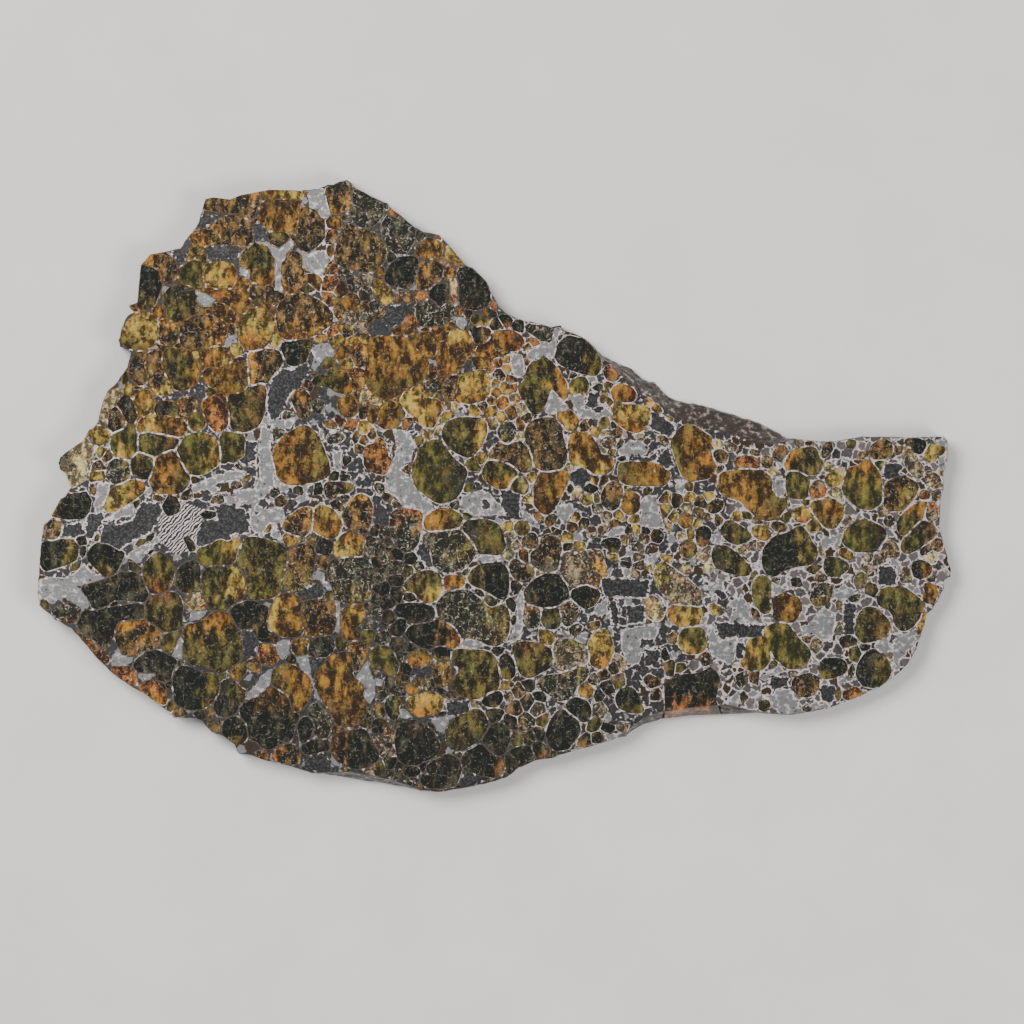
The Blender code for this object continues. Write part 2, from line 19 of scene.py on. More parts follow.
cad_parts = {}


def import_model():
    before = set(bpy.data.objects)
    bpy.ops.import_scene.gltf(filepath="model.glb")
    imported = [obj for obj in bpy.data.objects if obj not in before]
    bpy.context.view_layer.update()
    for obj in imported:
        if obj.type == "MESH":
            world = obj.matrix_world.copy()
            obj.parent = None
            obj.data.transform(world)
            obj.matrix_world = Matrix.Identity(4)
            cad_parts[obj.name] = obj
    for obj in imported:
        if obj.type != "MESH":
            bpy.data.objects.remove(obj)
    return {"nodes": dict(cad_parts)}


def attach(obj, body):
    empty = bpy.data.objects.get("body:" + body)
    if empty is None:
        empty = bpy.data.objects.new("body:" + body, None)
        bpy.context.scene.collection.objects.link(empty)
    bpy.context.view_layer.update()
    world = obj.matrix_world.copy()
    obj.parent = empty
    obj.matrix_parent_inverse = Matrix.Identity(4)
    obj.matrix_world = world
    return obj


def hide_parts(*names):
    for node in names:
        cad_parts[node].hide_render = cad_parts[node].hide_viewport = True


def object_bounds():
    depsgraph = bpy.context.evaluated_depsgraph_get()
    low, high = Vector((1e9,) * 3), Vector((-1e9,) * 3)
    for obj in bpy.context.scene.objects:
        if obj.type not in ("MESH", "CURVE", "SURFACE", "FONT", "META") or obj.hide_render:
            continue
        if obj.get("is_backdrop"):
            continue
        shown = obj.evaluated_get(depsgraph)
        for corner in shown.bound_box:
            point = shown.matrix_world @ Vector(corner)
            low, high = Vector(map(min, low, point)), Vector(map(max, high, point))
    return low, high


LOG = logging.getLogger("pallasite_slice")
METRES_PER_MM = 0.001
BODY = "root"
METAL_NODE = "metal_matrix"

Outline = np.ndarray
Point = tuple[float, float]
Span = tuple[float, float]
Colour = tuple[float, float, float]
Socket = bpy.types.NodeSocket


class Tone(Enum):
    """The olivine finishes, named as the record's slots name them."""

    DARK = "dark_olive"
    OLIVE = "olive"
    GREEN = "yellow_green"
    GOLD = "golden"
    AMBER = "amber"
    BROWN = "brown"
    RED = "red_amber"
    CREAM = "cream"
    SMOKY = "smoky"
    TAN = "tan"


class Side(Enum):
    """The side of a crystal that catches more light, as a direction on the slice."""

    NORTH = (0.0, 1.0)
    EAST = (1.0, 0.0)
    SOUTH = (0.0, -1.0)
    WEST = (-1.0, 0.0)


@dataclass(frozen=True)
class Look:
    """How one crystal is coloured: its main tone, and a second tone painted as glow towards the side that
    catches more light.
    """

    tone: Tone
    glow: Tone
    side: Side


@dataclass(frozen=True)
class Grain:
    """A smaller crystal that has no solid of its own: its look and its outline in photograph pixels."""

    look: Look
    pixels: str


@dataclass(frozen=True)
class RubbleZone:
    """A patch of broken olivine between the larger crystals.

    Attributes:
        pixels: the patch's outline in photograph pixels.
        pitch: distance between the middles of neighbouring fragments, in millimetres.
        filled: share of the places that hold a fragment; the rest are metal.
        tones: the tones that its fragments take in turn.
    """

    pixels: str
    pitch: float
    filled: float
    tones: tuple[Tone, ...]


# Joining and measuring of meshes, in metres except for the scale.
MERGE_DISTANCE = 2e-6
JOIN_DISTANCE = 1.2e-5
BACK_GAP = 5e-5
FINE_SCALE = 1e4

# How outlines are drawn, in millimetres.
OUTLINE_SPACING = 0.42
LANDMARK_SPACING = 0.12
WALL_SPACING = 0.25
CRYSTAL_WAVE = 0.10
GRAIN_WAVE = 0.06
WAVE_LENGTH = 1.3
NOTCH_SHARE = 0.9

# How crystals and grains are fitted to their neighbours, in millimetres.
EDGE_CRYSTAL_GAP = 0.5
BAY_REACH = 0.5
BAY_SPACING = 0.1
ROOM_REACH = 0.8
FIELD_WALL = 0.12
FIELD_REACH = 1.0
GRAIN_GROWTH = 0.12
GRAIN_FITTING_PASSES = 30
FITTING_SHARE = 0.95
GROWTH_PASSES = 6
GROWTH_STEP = 0.08
PROBE_SHARE = 0.75
SOFTENING = (0.25, 0.5, 0.25)

# How the fragments are scattered and cut, in millimetres.
DARTS_PER_PLACE = 14.0
DART_CELL = 2.6
NEAREST_SHARE = 0.8
FIELD_MARGIN = 0.35
SMALLEST_ROOM = 0.12
SMALLEST_FRAGMENT = 0.14
FRAGMENT_REACH = 0.95
FRAGMENT_CORNERS = 8
SAME_PLACE = 1e-4
SMALLEST_SHARE = 0.02
CORNER_CUT = 0.13

# The metal's rim, its open faces and its waves, in millimetres except for the noises' scales.
RIM_LUMP_SCALE = 900.0
RIM_LUMP_LAYERS = 4
RIM_LUMP_LEVEL = 0.35
RIM_PROBES = (0.25, 0.5, 0.75)
LEVEL_TOLERANCE = 0.003
CROSSING_TOLERANCE = 1e-5
ROW_SHARE = 0.87
JITTER = 0.16
CLEAR_SHARE = 0.35
SWELL_SCALE = 0.45
LAYER_REACH = 3.0


def look_of(words: str) -> Look:
    """The look that a table's row names: main tone, second tone, and the lit side where that tone is painted
    as glow.
    """
    tone, glow, side = words.split()
    return Look(Tone[tone], Tone[glow], Side[side])


def rows_of(table: str) -> list[list[str]]:
    """The rows of a table, each split at its colon."""
    return [row.split(": ") for row in table.strip().splitlines()]


def zone_of(words: str, pixels: str) -> RubbleZone:
    """The patch of fragments that a table's row names: pitch, filled share, tones and outline."""
    pitch, filled, *tones = words.split()
    return RubbleZone(pixels, float(pitch), float(filled), tuple(Tone[tone] for tone in tones))


# The crystals that have a solid, numbered along the place that names them.
CRYSTAL_LOOKS = {"olivine_%s_%d" % (place, number): look_of(words)
                 for place, looks in rows_of("""
top_far_west: BROWN AMBER WEST
top_west: BROWN AMBER NORTH, AMBER BROWN NORTH, BROWN DARK SOUTH, BROWN OLIVE EAST
upper_far_west: OLIVE AMBER EAST, BROWN AMBER EAST, AMBER OLIVE EAST
upper_west: OLIVE BROWN EAST, GOLD AMBER SOUTH, BROWN AMBER SOUTH, AMBER OLIVE SOUTH
upper_middle: OLIVE AMBER EAST
upper_east: DARK GREEN EAST
centre_far_west: DARK BROWN WEST, CREAM DARK WEST, AMBER OLIVE EAST, GREEN GOLD EAST
centre_west: AMBER GREEN EAST
centre_middle: SMOKY RED NORTH, GREEN DARK EAST, OLIVE GOLD EAST, OLIVE DARK WEST, BROWN DARK EAST
centre_east: AMBER GOLD SOUTH, AMBER OLIVE WEST, AMBER GREEN WEST
centre_far_east: AMBER OLIVE EAST, GREEN AMBER NORTH
lower_far_west: DARK SMOKY SOUTH, DARK SMOKY NORTH, BROWN AMBER NORTH, OLIVE BROWN NORTH, OLIVE AMBER \
NORTH, OLIVE GOLD EAST
lower_west: DARK BROWN EAST, OLIVE GREEN SOUTH, AMBER GOLD WEST, BROWN OLIVE SOUTH, BROWN AMBER \
SOUTH, SMOKY OLIVE SOUTH
lower_middle: SMOKY OLIVE EAST, SMOKY OLIVE EAST, OLIVE BROWN NORTH, DARK SMOKY WEST
lower_east: TAN AMBER EAST, TAN GREEN WEST
lower_far_east: GREEN GOLD WEST, DARK GREEN EAST, OLIVE DARK SOUTH
bottom_far_west: DARK GREEN EAST
bottom_west: DARK BROWN NORTH, AMBER OLIVE WEST, AMBER BROWN SOUTH, DARK BROWN WEST
bottom_middle: DARK SMOKY NORTH, OLIVE DARK SOUTH, OLIVE GREEN SOUTH
bottom_east: DARK RED SOUTH
""") for number, words in enumerate(looks.split(", "), 1)}

# The smaller crystals: their look, and their outline in photograph pixels.
GRAINS = [Grain(look_of(words), pixels) for words, pixels in rows_of("""
DARK OLIVE SOUTH: 141,268 150,267 158,272 160,281 156,295 152,305 142,307 138,299
BROWN AMBER WEST: 143,260 152,254 165,254 175,262 176,272 171,280 160,281 153,268
OLIVE DARK NORTH: 168,291 179,287 190,288 196,296 196,309 189,319 171,320 167,307
GREEN OLIVE NORTH: 180,268 184,266 198,263 200,279 198,286 187,284 180,275
GOLD AMBER EAST: 207,266 219,263 231,267 234,280 228,288 213,287 206,277
AMBER RED WEST: 208,289 225,289 242,295 249,306 241,312 232,303 218,297
GOLD OLIVE SOUTH: 124,330 135,318 146,315 156,321 157,335 150,344 138,347 128,345 122,338
BROWN AMBER NORTH: 160,323 172,322 177,330 175,341 166,343 160,337
DARK OLIVE EAST: 284,344 300,340 310,343 307,352 303,361 291,363 285,353
OLIVE DARK SOUTH: 271,233 286,233 286,240 280,244 273,241
GOLD AMBER WEST: 271,191 300,191 300,198 286,198 272,196
BROWN AMBER SOUTH: 326,192 339,184 346,181 350,188 350,200 346,210 336,211 329,206
OLIVE AMBER SOUTH: 254,245 265,246 272,256 272,270 270,281 260,282 252,278 250,267 243,262 244,254
BROWN DARK EAST: 253,286 270,289 284,295 278,299 262,299 252,296
BROWN AMBER SOUTH: 283,262 292,254 300,257 301,272 299,284 291,291 284,291 282,280
SMOKY DARK NORTH: 354,191 367,197 379,204 381,216 372,223 360,225 354,215
SMOKY DARK SOUTH: 387,216 398,220 411,226 412,240 405,251 397,251 387,240 384,225
RED AMBER NORTH: 389,211 399,213 398,217 391,217
AMBER GOLD EAST: 418,252 421,246 428,241 438,244 443,248 438,254 426,256
GOLD RED SOUTH: 448,247 455,252 465,264 455,262 448,255
DARK SMOKY SOUTH: 390,269 401,260 414,259 417,269 412,281 407,286 396,283 387,281
BROWN AMBER WEST: 421,265 431,262 440,268 439,276 432,283 422,287 418,281
DARK SMOKY SOUTH: 460,270 471,268 480,277 487,290 487,303 476,307 463,304 461,292
CREAM RED SOUTH: 455,279 457,286 455,299 452,304 451,290
DARK SMOKY EAST: 435,287 448,287 448,299 440,307 432,295
GOLD AMBER NORTH: 374,283 382,283 391,296 387,302 379,295
RED AMBER SOUTH: 406,318 411,313 415,320 413,329 407,332 404,327
SMOKY DARK SOUTH: 416,307 435,302 453,307 450,317 439,323 419,323
DARK BROWN EAST: 471,330 482,327 489,332 485,341 475,342
GREEN GOLD SOUTH: 474,317 486,320 486,325 475,325
AMBER RED EAST: 496,334 510,333 518,337 522,343 513,349 504,352 493,355 483,354 476,351 480,346 489,343
AMBER BROWN NORTH: 413,337 429,335 435,344 433,355 425,353 414,344
AMBER RED SOUTH: 440,344 446,347 448,360 446,374 442,381 441,370 439,355
AMBER GOLD NORTH: 452,333 469,333 474,345 464,358 454,371 450,355
GOLD AMBER SOUTH: 471,375 484,373 488,379 486,388 487,393 481,398 470,401 461,399 457,396 460,386 461,378
BROWN DARK NORTH: 450,380 456,377 457,390 453,398 447,398 444,390
SMOKY GREEN SOUTH: 428,384 438,382 440,389 439,396 432,396 425,390
GOLD AMBER EAST: 406,392 419,387 422,392 428,399 437,401 439,409 435,420 432,425 427,424 419,420 415,413 \
406,408 402,403
AMBER OLIVE EAST: 382,410 390,404 401,408 404,413 398,418 397,425 383,426 381,422
BROWN AMBER NORTH: 353,351 360,346 365,350 364,363 358,364
GOLD OLIVE SOUTH: 86,437 98,429 110,432 106,440 96,444
CREAM TAN SOUTH: 104,399 112,393 121,391 113,402 107,412 105,424 101,417
BROWN SMOKY NORTH: 109,409 117,408 123,419 124,426 117,430 111,431 109,421
DARK OLIVE SOUTH: 119,404 124,398 131,403 135,414 132,421 128,421 123,414
AMBER GOLD EAST: 138,398 145,393 151,394 152,402 147,412 142,415 138,408
GREEN GOLD SOUTH: 113,437 119,432 126,428 133,428 135,437 136,449 129,457 122,457 114,449
AMBER GOLD WEST: 138,430 142,420 152,417 179,422 184,426 183,432 178,434 162,431 150,430
OLIVE BROWN EAST: 140,436 150,434 165,438 178,441 174,446 167,449 157,454 147,453 140,450
OLIVE DARK SOUTH: 134,459 141,454 151,458 152,466 147,477 138,476 133,470
SMOKY OLIVE EAST: 111,465 117,461 126,462 128,470 127,477 122,481 113,481 109,475
GREEN OLIVE EAST: 223,435 239,435 244,441 244,449 244,456 236,460 227,458 222,462 223,450
GOLD AMBER EAST: 106,507 111,494 118,488 129,483 140,483 143,489 133,497 122,504 109,510
BROWN GOLD SOUTH: 150,354 160,353 160,366 166,383 172,392 162,396 156,391 151,378 147,365
BROWN SMOKY WEST: 138,354 146,354 143,366 146,378 140,383 132,375 134,361
BROWN OLIVE EAST: 181,402 185,398 192,399 194,406 190,410 184,410
GREEN GOLD SOUTH: 192,416 198,414 202,419 203,425 195,428 191,426
DARK OLIVE EAST: 157,406 165,404 176,406 180,411 170,413 157,413
AMBER GOLD EAST: 202,353 215,348 226,351 230,360 221,366 207,364
RED AMBER WEST: 204,403 215,399 223,396 226,408 226,424 218,430 210,422 206,412
BROWN AMBER WEST: 251,354 264,351 279,354 281,362 273,370 267,380 258,382 253,384 250,372
BROWN AMBER NORTH: 293,397 300,391 307,396 308,405 306,415 303,417 299,409
OLIVE AMBER EAST: 313,381 328,376 335,370 344,374 348,385 350,391 340,390 330,384
AMBER BROWN SOUTH: 341,401 351,400 356,408 353,414 345,414 342,409
SMOKY OLIVE EAST: 329,436 340,433 345,437 339,443 331,443
RED AMBER NORTH: 369,446 379,440 385,444 389,461 384,472 375,470 367,465 367,455
BROWN OLIVE EAST: 327,485 352,486 348,490 336,491 332,497 328,495
SMOKY GREEN SOUTH: 500,431 504,426 509,424 513,428 513,435 508,440 503,438
BROWN OLIVE EAST: 491,455 498,445 508,449 518,444 528,450 531,459 529,469 523,470 515,464 505,458 497,457
OLIVE AMBER SOUTH: 488,464 500,464 511,468 516,474 510,478 504,488 495,484 487,478 485,471
GREEN CREAM EAST: 514,484 518,479 524,481 526,486 525,491 518,493 512,490
AMBER BROWN WEST: 541,474 566,474 566,480 560,491 553,508 545,512 537,504 537,486
GREEN GOLD SOUTH: 578,380 584,380 586,384 585,391 578,392 571,391 570,388
RED BROWN SOUTH: 606,370 611,367 618,373 616,378 609,378
AMBER RED EAST: 614,390 622,387 630,390 634,396 631,399 623,401 616,399
GOLD AMBER SOUTH: 613,408 620,405 635,408 648,410 649,418 645,425 637,430 627,427 618,420 614,415
TAN BROWN SOUTH: 604,441 610,439 614,442 610,445 605,445
OLIVE GREEN SOUTH: 601,418 606,417 607,424 602,427
SMOKY DARK EAST: 527,327 544,329 553,332 550,343 540,336
AMBER GOLD SOUTH: 559,416 569,413 576,420 574,428 566,427
RED AMBER SOUTH: 736,464 738,460 745,459 753,460 758,464 757,467
OLIVE AMBER WEST: 787,463 790,455 797,452 814,450 816,458 821,464 818,471 813,472 806,472 800,468 789,468
GREEN OLIVE SOUTH: 789,474 798,474 806,479 807,487 806,495 800,496 791,495 789,487
RED TAN NORTH: 812,488 819,482 823,487 823,494 818,496 812,495
GOLD CREAM NORTH: 827,479 833,474 842,470 843,475 840,481 834,484 828,483
AMBER GREEN SOUTH: 813,504 821,502 833,502 840,507 841,515 838,521 833,526 827,525 822,519 815,510
OLIVE DARK WEST: 715,551 716,548 721,547 729,551 739,559 747,568 750,571 746,573 737,572 726,569 717,564 \
715,558
OLIVE DARK WEST: 723,529 728,523 735,526 743,531 750,537 737,542 728,538
DARK BROWN SOUTH: 699,531 704,529 708,531 708,536 705,541 702,545 699,540
GOLD AMBER SOUTH: 754,529 761,528 769,534 765,538 759,536 755,532
BROWN OLIVE EAST: 773,525 776,524 786,528 780,530
BROWN DARK SOUTH: 775,454 780,448 785,449 783,457 780,458 776,457
BROWN DARK SOUTH: 763,462 767,458 771,462 767,466
BROWN OLIVE EAST: 682,546 687,542 693,545 694,551 690,556 683,553
AMBER BROWN NORTH: 682,517 686,515 690,518 689,523 685,526 682,523
OLIVE BROWN EAST: 715,453 721,452 726,456 722,460 717,459
GOLD RED SOUTH: 795,511 805,509 810,515 804,520 797,518
BROWN OLIVE EAST: 711,506 716,502 721,503 719,508 714,511 710,510
BROWN OLIVE EAST: 873,448 878,444 885,442 889,445 890,452 887,456 882,456 873,456
BROWN GREEN EAST: 887,486 890,482 901,478 908,481 916,486 914,493 908,501 903,507 890,508 887,505 886,496
GOLD BROWN EAST: 930,449 935,445 944,447 944,453 937,457 929,460 926,458
TAN CREAM NORTH: 907,447 911,451 916,463 922,470 919,477 911,469 905,456
TAN CREAM SOUTH: 927,473 936,477 939,484 934,486 929,480
TAN RED NORTH: 931,504 935,507 935,516 930,520 928,512
OLIVE AMBER NORTH: 900,529 901,520 908,514 915,508 926,503 923,509 920,517 912,525 904,534
OLIVE BROWN EAST: 918,526 925,523 932,527 933,535 925,540 914,548 906,551 903,548 906,540 913,533
GREEN DARK EAST: 844,539 847,532 855,526 862,522 871,525 880,529 884,535 880,543 874,549 862,549 855,549 \
850,547
OLIVE DARK WEST: 827,561 832,560 842,562 847,566 843,570 836,574 829,573 827,569
GOLD AMBER WEST: 841,552 845,550 851,554 849,558 843,556
SMOKY GREEN SOUTH: 887,520 890,518 893,521 890,524 887,523
DARK AMBER EAST: 915,564 922,563 929,567 928,573 921,576 914,574
TAN BROWN SOUTH: 885,546 890,542 896,548 897,555 890,558 883,554
DARK OLIVE WEST: 907,441 916,440 924,444 922,451 914,452 908,447
RED TAN NORTH: 921,493 927,493 927,497 922,497
DARK GREEN EAST: 44,542 56,543 71,542 75,547 75,558 62,563 46,568 42,562 42,550
BROWN TAN WEST: 53,521 59,523 59,529 55,537 52,539 46,538 43,540 43,534 46,526
DARK GREEN SOUTH: 90,553 94,548 101,544 108,545 117,550 122,554 119,562 115,570 111,574 106,574 101,570 \
95,564 90,558
OLIVE RED SOUTH: 154,557 158,555 163,558 168,564 171,570 172,576 168,585 161,591 154,592 150,589 147,580 \
146,570 149,562
DARK OLIVE SOUTH: 180,572 185,567 192,564 196,565 197,572 198,582 197,588 190,590 183,589 179,584 178,577
GREEN OLIVE SOUTH: 165,639 169,636 175,634 178,636 176,641 171,647 168,650 164,647 163,643
DARK SMOKY SOUTH: 138,661 144,655 158,653 166,658 175,662 170,670 168,678 160,679 157,674 155,669 140,669 \
136,666
RED BROWN NORTH: 112,667 118,667 127,669 133,673 134,680 133,685 125,680 116,674
RED AMBER SOUTH: 141,687 146,684 158,683 162,686 163,693 165,702 159,701 152,697 146,693
RED BROWN NORTH: 84,638 92,643 99,649 106,657 108,661 103,662 95,655 86,646
SMOKY BROWN SOUTH: 60,609 70,606 77,608 80,614 76,620 70,620 60,616 54,612
GREEN GOLD EAST: 200,549 205,547 213,544 217,541 222,540 226,543 235,540 238,542 236,548 234,557 231,562 \
225,563 218,562 210,564 203,562 200,557
CREAM RED EAST: 187,599 192,598 197,594 201,596 204,602 205,606 198,608 190,607 187,603
BROWN AMBER NORTH: 287,521 294,517 302,511 311,510 311,522 307,529 302,535 291,531 285,527
AMBER GOLD NORTH: 316,510 322,508 331,512 338,519 339,526 335,535 328,535 318,530 314,527 315,520
AMBER GOLD SOUTH: 286,535 292,538 299,540 295,542 289,544 286,540
GOLD AMBER NORTH: 344,537 351,534 360,537 362,542 360,547 361,554 352,555 344,555 339,557 336,552 338,544
BROWN AMBER NORTH: 351,504 356,499 361,497 367,500 370,508 369,520 366,529 363,531 356,528 351,526 346,521 \
344,516 348,511
AMBER GOLD NORTH: 343,611 352,608 361,608 362,616 358,622 352,625 354,632 358,636 350,637 344,634 342,622
RED AMBER NORTH: 259,646 264,645 272,646 274,651 276,658 270,663 263,660 259,655
AMBER OLIVE SOUTH: 294,642 300,640 306,642 306,650 304,654 299,653 295,649
DARK SMOKY SOUTH: 311,641 320,639 329,638 331,643 331,649 325,654 315,655 310,651
BROWN AMBER NORTH: 350,646 357,644 365,647 367,652 365,659 361,665 356,669 355,661 352,653
GREEN OLIVE SOUTH: 373,651 380,649 387,650 391,656 395,664 396,670 392,673 385,669 378,667 373,665 371,659
DARK OLIVE EAST: 223,683 229,681 235,686 241,692 246,694 244,697 239,701 236,707 233,711 224,715 219,712 \
217,707 219,700 222,692
DARK OLIVE SOUTH: 226,723 235,719 239,723 244,725 245,731 245,737 240,741 235,742 230,737 225,732
BROWN RED WEST: 277,753 283,749 290,747 295,749 297,755 297,761 290,761 279,759 275,757
RED TAN NORTH: 257,755 261,752 265,754 266,758 262,759 258,757
DARK SMOKY SOUTH: 302,722 307,719 313,725 308,732 306,740 303,741 302,735 301,726
SMOKY DARK SOUTH: 312,707 318,705 324,708 328,717 328,728 326,734 322,737 317,734 318,727 312,717
DARK SMOKY EAST: 304,747 309,743 322,743 327,741 328,746 326,749 316,753 307,752
GOLD AMBER SOUTH: 411,698 419,696 430,695 439,698 441,703 441,706 436,710 428,712 418,714 412,709 408,704
AMBER BROWN NORTH: 409,685 414,688 419,692 414,694 409,691
DARK GREEN EAST: 388,702 393,699 398,702 396,710 395,717 392,716 389,710
BROWN GOLD EAST: 436,667 441,664 447,664 450,668 449,676 448,682 443,684 438,681 436,674
DARK AMBER EAST: 411,629 419,627 431,625 438,622 446,626 453,630 457,637 458,642 453,646 446,643 436,643 \
430,646 421,644 412,638 408,632
DARK OLIVE SOUTH: 434,650 440,648 447,650 449,655 448,658 440,659 436,656
AMBER OLIVE NORTH: 411,656 424,652 428,658 425,663 415,665 410,660
AMBER GREEN EAST: 427,518 433,514 442,511 450,512 457,516 460,519 457,525 451,527 440,528 430,529 426,525
OLIVE GOLD SOUTH: 414,578 419,575 430,573 438,577 440,585 439,591 436,596 430,600 423,598 416,590 410,588 \
406,585 410,581
AMBER RED WEST: 446,579 452,578 461,578 462,582 459,586 452,587 447,588 446,584
DARK OLIVE WEST: 472,573 479,568 488,565 499,565 504,569 506,576 506,590 504,597 498,595 491,590 483,586 \
475,583 470,579
DARK SMOKY SOUTH: 397,608 410,606 425,607 432,610 433,614 430,618 420,620 412,620 406,615 398,613
DARK GREEN SOUTH: 502,659 506,656 510,661 513,668 512,675 508,677 504,675 502,668
TAN OLIVE NORTH: 558,642 570,642 582,647 587,655 585,661 577,662 567,666 558,668 555,660 556,651
GOLD AMBER SOUTH: 594,638 600,632 606,633 609,641 611,650 608,658 604,666 599,666 592,661 592,650 591,643
SMOKY OLIVE NORTH: 541,681 550,678 562,677 574,673 585,670 587,672 584,677 576,682 572,691 565,697 560,698 \
553,694 545,688 539,686
AMBER GOLD SOUTH: 581,689 586,686 590,689 590,695 588,696 582,694
DARK SMOKY NORTH: 551,728 554,719 560,712 565,713 572,720 576,723 578,732 573,739 567,746 557,748 552,744 \
549,735
DARK SMOKY SOUTH: 568,705 575,700 585,703 588,709 588,716 584,720 577,714 570,711
DARK BROWN SOUTH: 537,744 544,748 547,754 541,758 537,756 534,749
DARK SMOKY SOUTH: 490,732 494,727 500,726 506,731 507,740 504,748 500,753 497,753 491,747 485,740 487,735
DARK BROWN EAST: 465,756 471,750 480,747 487,753 493,758 499,760 503,768 499,773 490,775 480,775 471,771 \
465,767
DARK SMOKY NORTH: 430,766 437,762 446,757 454,760 458,765 459,773 458,780 451,784 440,785 431,785 423,781 \
425,776 430,778
DARK SMOKY SOUTH: 405,769 415,769 418,772 412,774 407,773
DARK SMOKY SOUTH: 509,754 520,750 530,749 534,758 530,766 519,772 510,773 508,765
DARK OLIVE SOUTH: 483,701 490,695 498,693 500,698 496,704 489,704
BROWN DARK NORTH: 524,541 529,536 533,535 536,541 536,545 530,546 525,545
OLIVE GREEN SOUTH: 517,526 522,523 527,526 528,530 523,534 518,531
BROWN SMOKY SOUTH: 543,539 550,537 557,541 559,549 558,558 556,567 551,569 544,569 536,564 532,559 534,553 \
539,551 542,545
AMBER TAN SOUTH: 522,551 525,550 526,556 527,562 524,560 522,556
BROWN OLIVE EAST: 514,561 520,564 529,569 532,573 529,578 525,580 516,576 512,569
DARK GREEN EAST: 574,592 579,589 586,587 595,592 598,594 595,600 592,603 586,606 579,602 574,597
OLIVE SMOKY SOUTH: 543,612 550,611 558,610 560,618 556,626 548,626 543,620
SMOKY BROWN NORTH: 526,610 534,609 539,612 539,620 534,626 526,622 524,615
SMOKY BROWN NORTH: 563,606 570,603 577,609 575,617 567,624 562,618
GOLD AMBER WEST: 670,609 678,606 688,608 695,606 700,612 698,622 690,625 680,624 672,618
GREEN GOLD SOUTH: 683,632 690,628 700,630 703,638 703,648 696,651 686,650 681,643
CREAM BROWN WEST: 646,601 650,598 655,600 658,606 661,614 658,618 652,616 647,610
BROWN DARK SOUTH: 604,495 609,486 617,484 620,490 618,500 616,506 610,508 605,503
AMBER OLIVE EAST: 624,500 630,494 638,498 640,505 635,510 628,512 624,507
GOLD GREEN SOUTH: 584,497 589,497 590,501 587,503 583,501
DARK GREEN SOUTH: 603,543 610,541 618,541 617,548 614,550 608,546
DARK SMOKY SOUTH: 621,561 631,563 631,567 624,567 620,565
OLIVE GREEN SOUTH: 756,582 762,578 768,582 768,600 769,609 764,611 759,605 756,597 755,588
AMBER OLIVE WEST: 774,599 780,594 790,598 798,602 799,610 796,616 790,620 780,619 775,616 778,610 773,604
BROWN DARK NORTH: 795,681 801,678 810,676 815,679 818,684 814,689 809,694 803,694 797,691 795,686
DARK GREEN SOUTH: 824,662 836,661 843,663 845,669 841,672 832,675 825,676 822,671 822,666
SMOKY GREEN SOUTH: 815,591 820,587 827,586 830,589 828,597 825,602 817,604 813,600
OLIVE BROWN EAST: 862,613 867,610 875,611 882,617 887,623 887,631 881,635 872,639 863,640 858,634 854,628 \
859,620
DARK OLIVE EAST: 866,656 873,652 880,654 885,661 888,668 888,675 883,681 873,685 864,683 859,675 860,665
DARK OLIVE SOUTH: 842,640 846,635 852,636 856,641 851,643 844,645
RED AMBER NORTH: 845,694 851,690 857,690 859,694 854,696 847,698
GOLD AMBER NORTH: 921,613 925,611 926,620 922,629 918,634 918,628 921,620
AMBER BROWN SOUTH: 926,585 932,587 935,592 933,599 928,601 925,598 929,592
TAN SMOKY SOUTH: 900,571 906,569 909,573 909,579 903,580 900,576
OLIVE TAN SOUTH: 857,579 862,574 864,578 862,586 858,586
GOLD DARK EAST: 712,606 719,606 723,610 719,613 713,611
DARK OLIVE SOUTH: 621,692 631,690 635,696 638,705 642,710 632,710 621,706 618,698
""")]


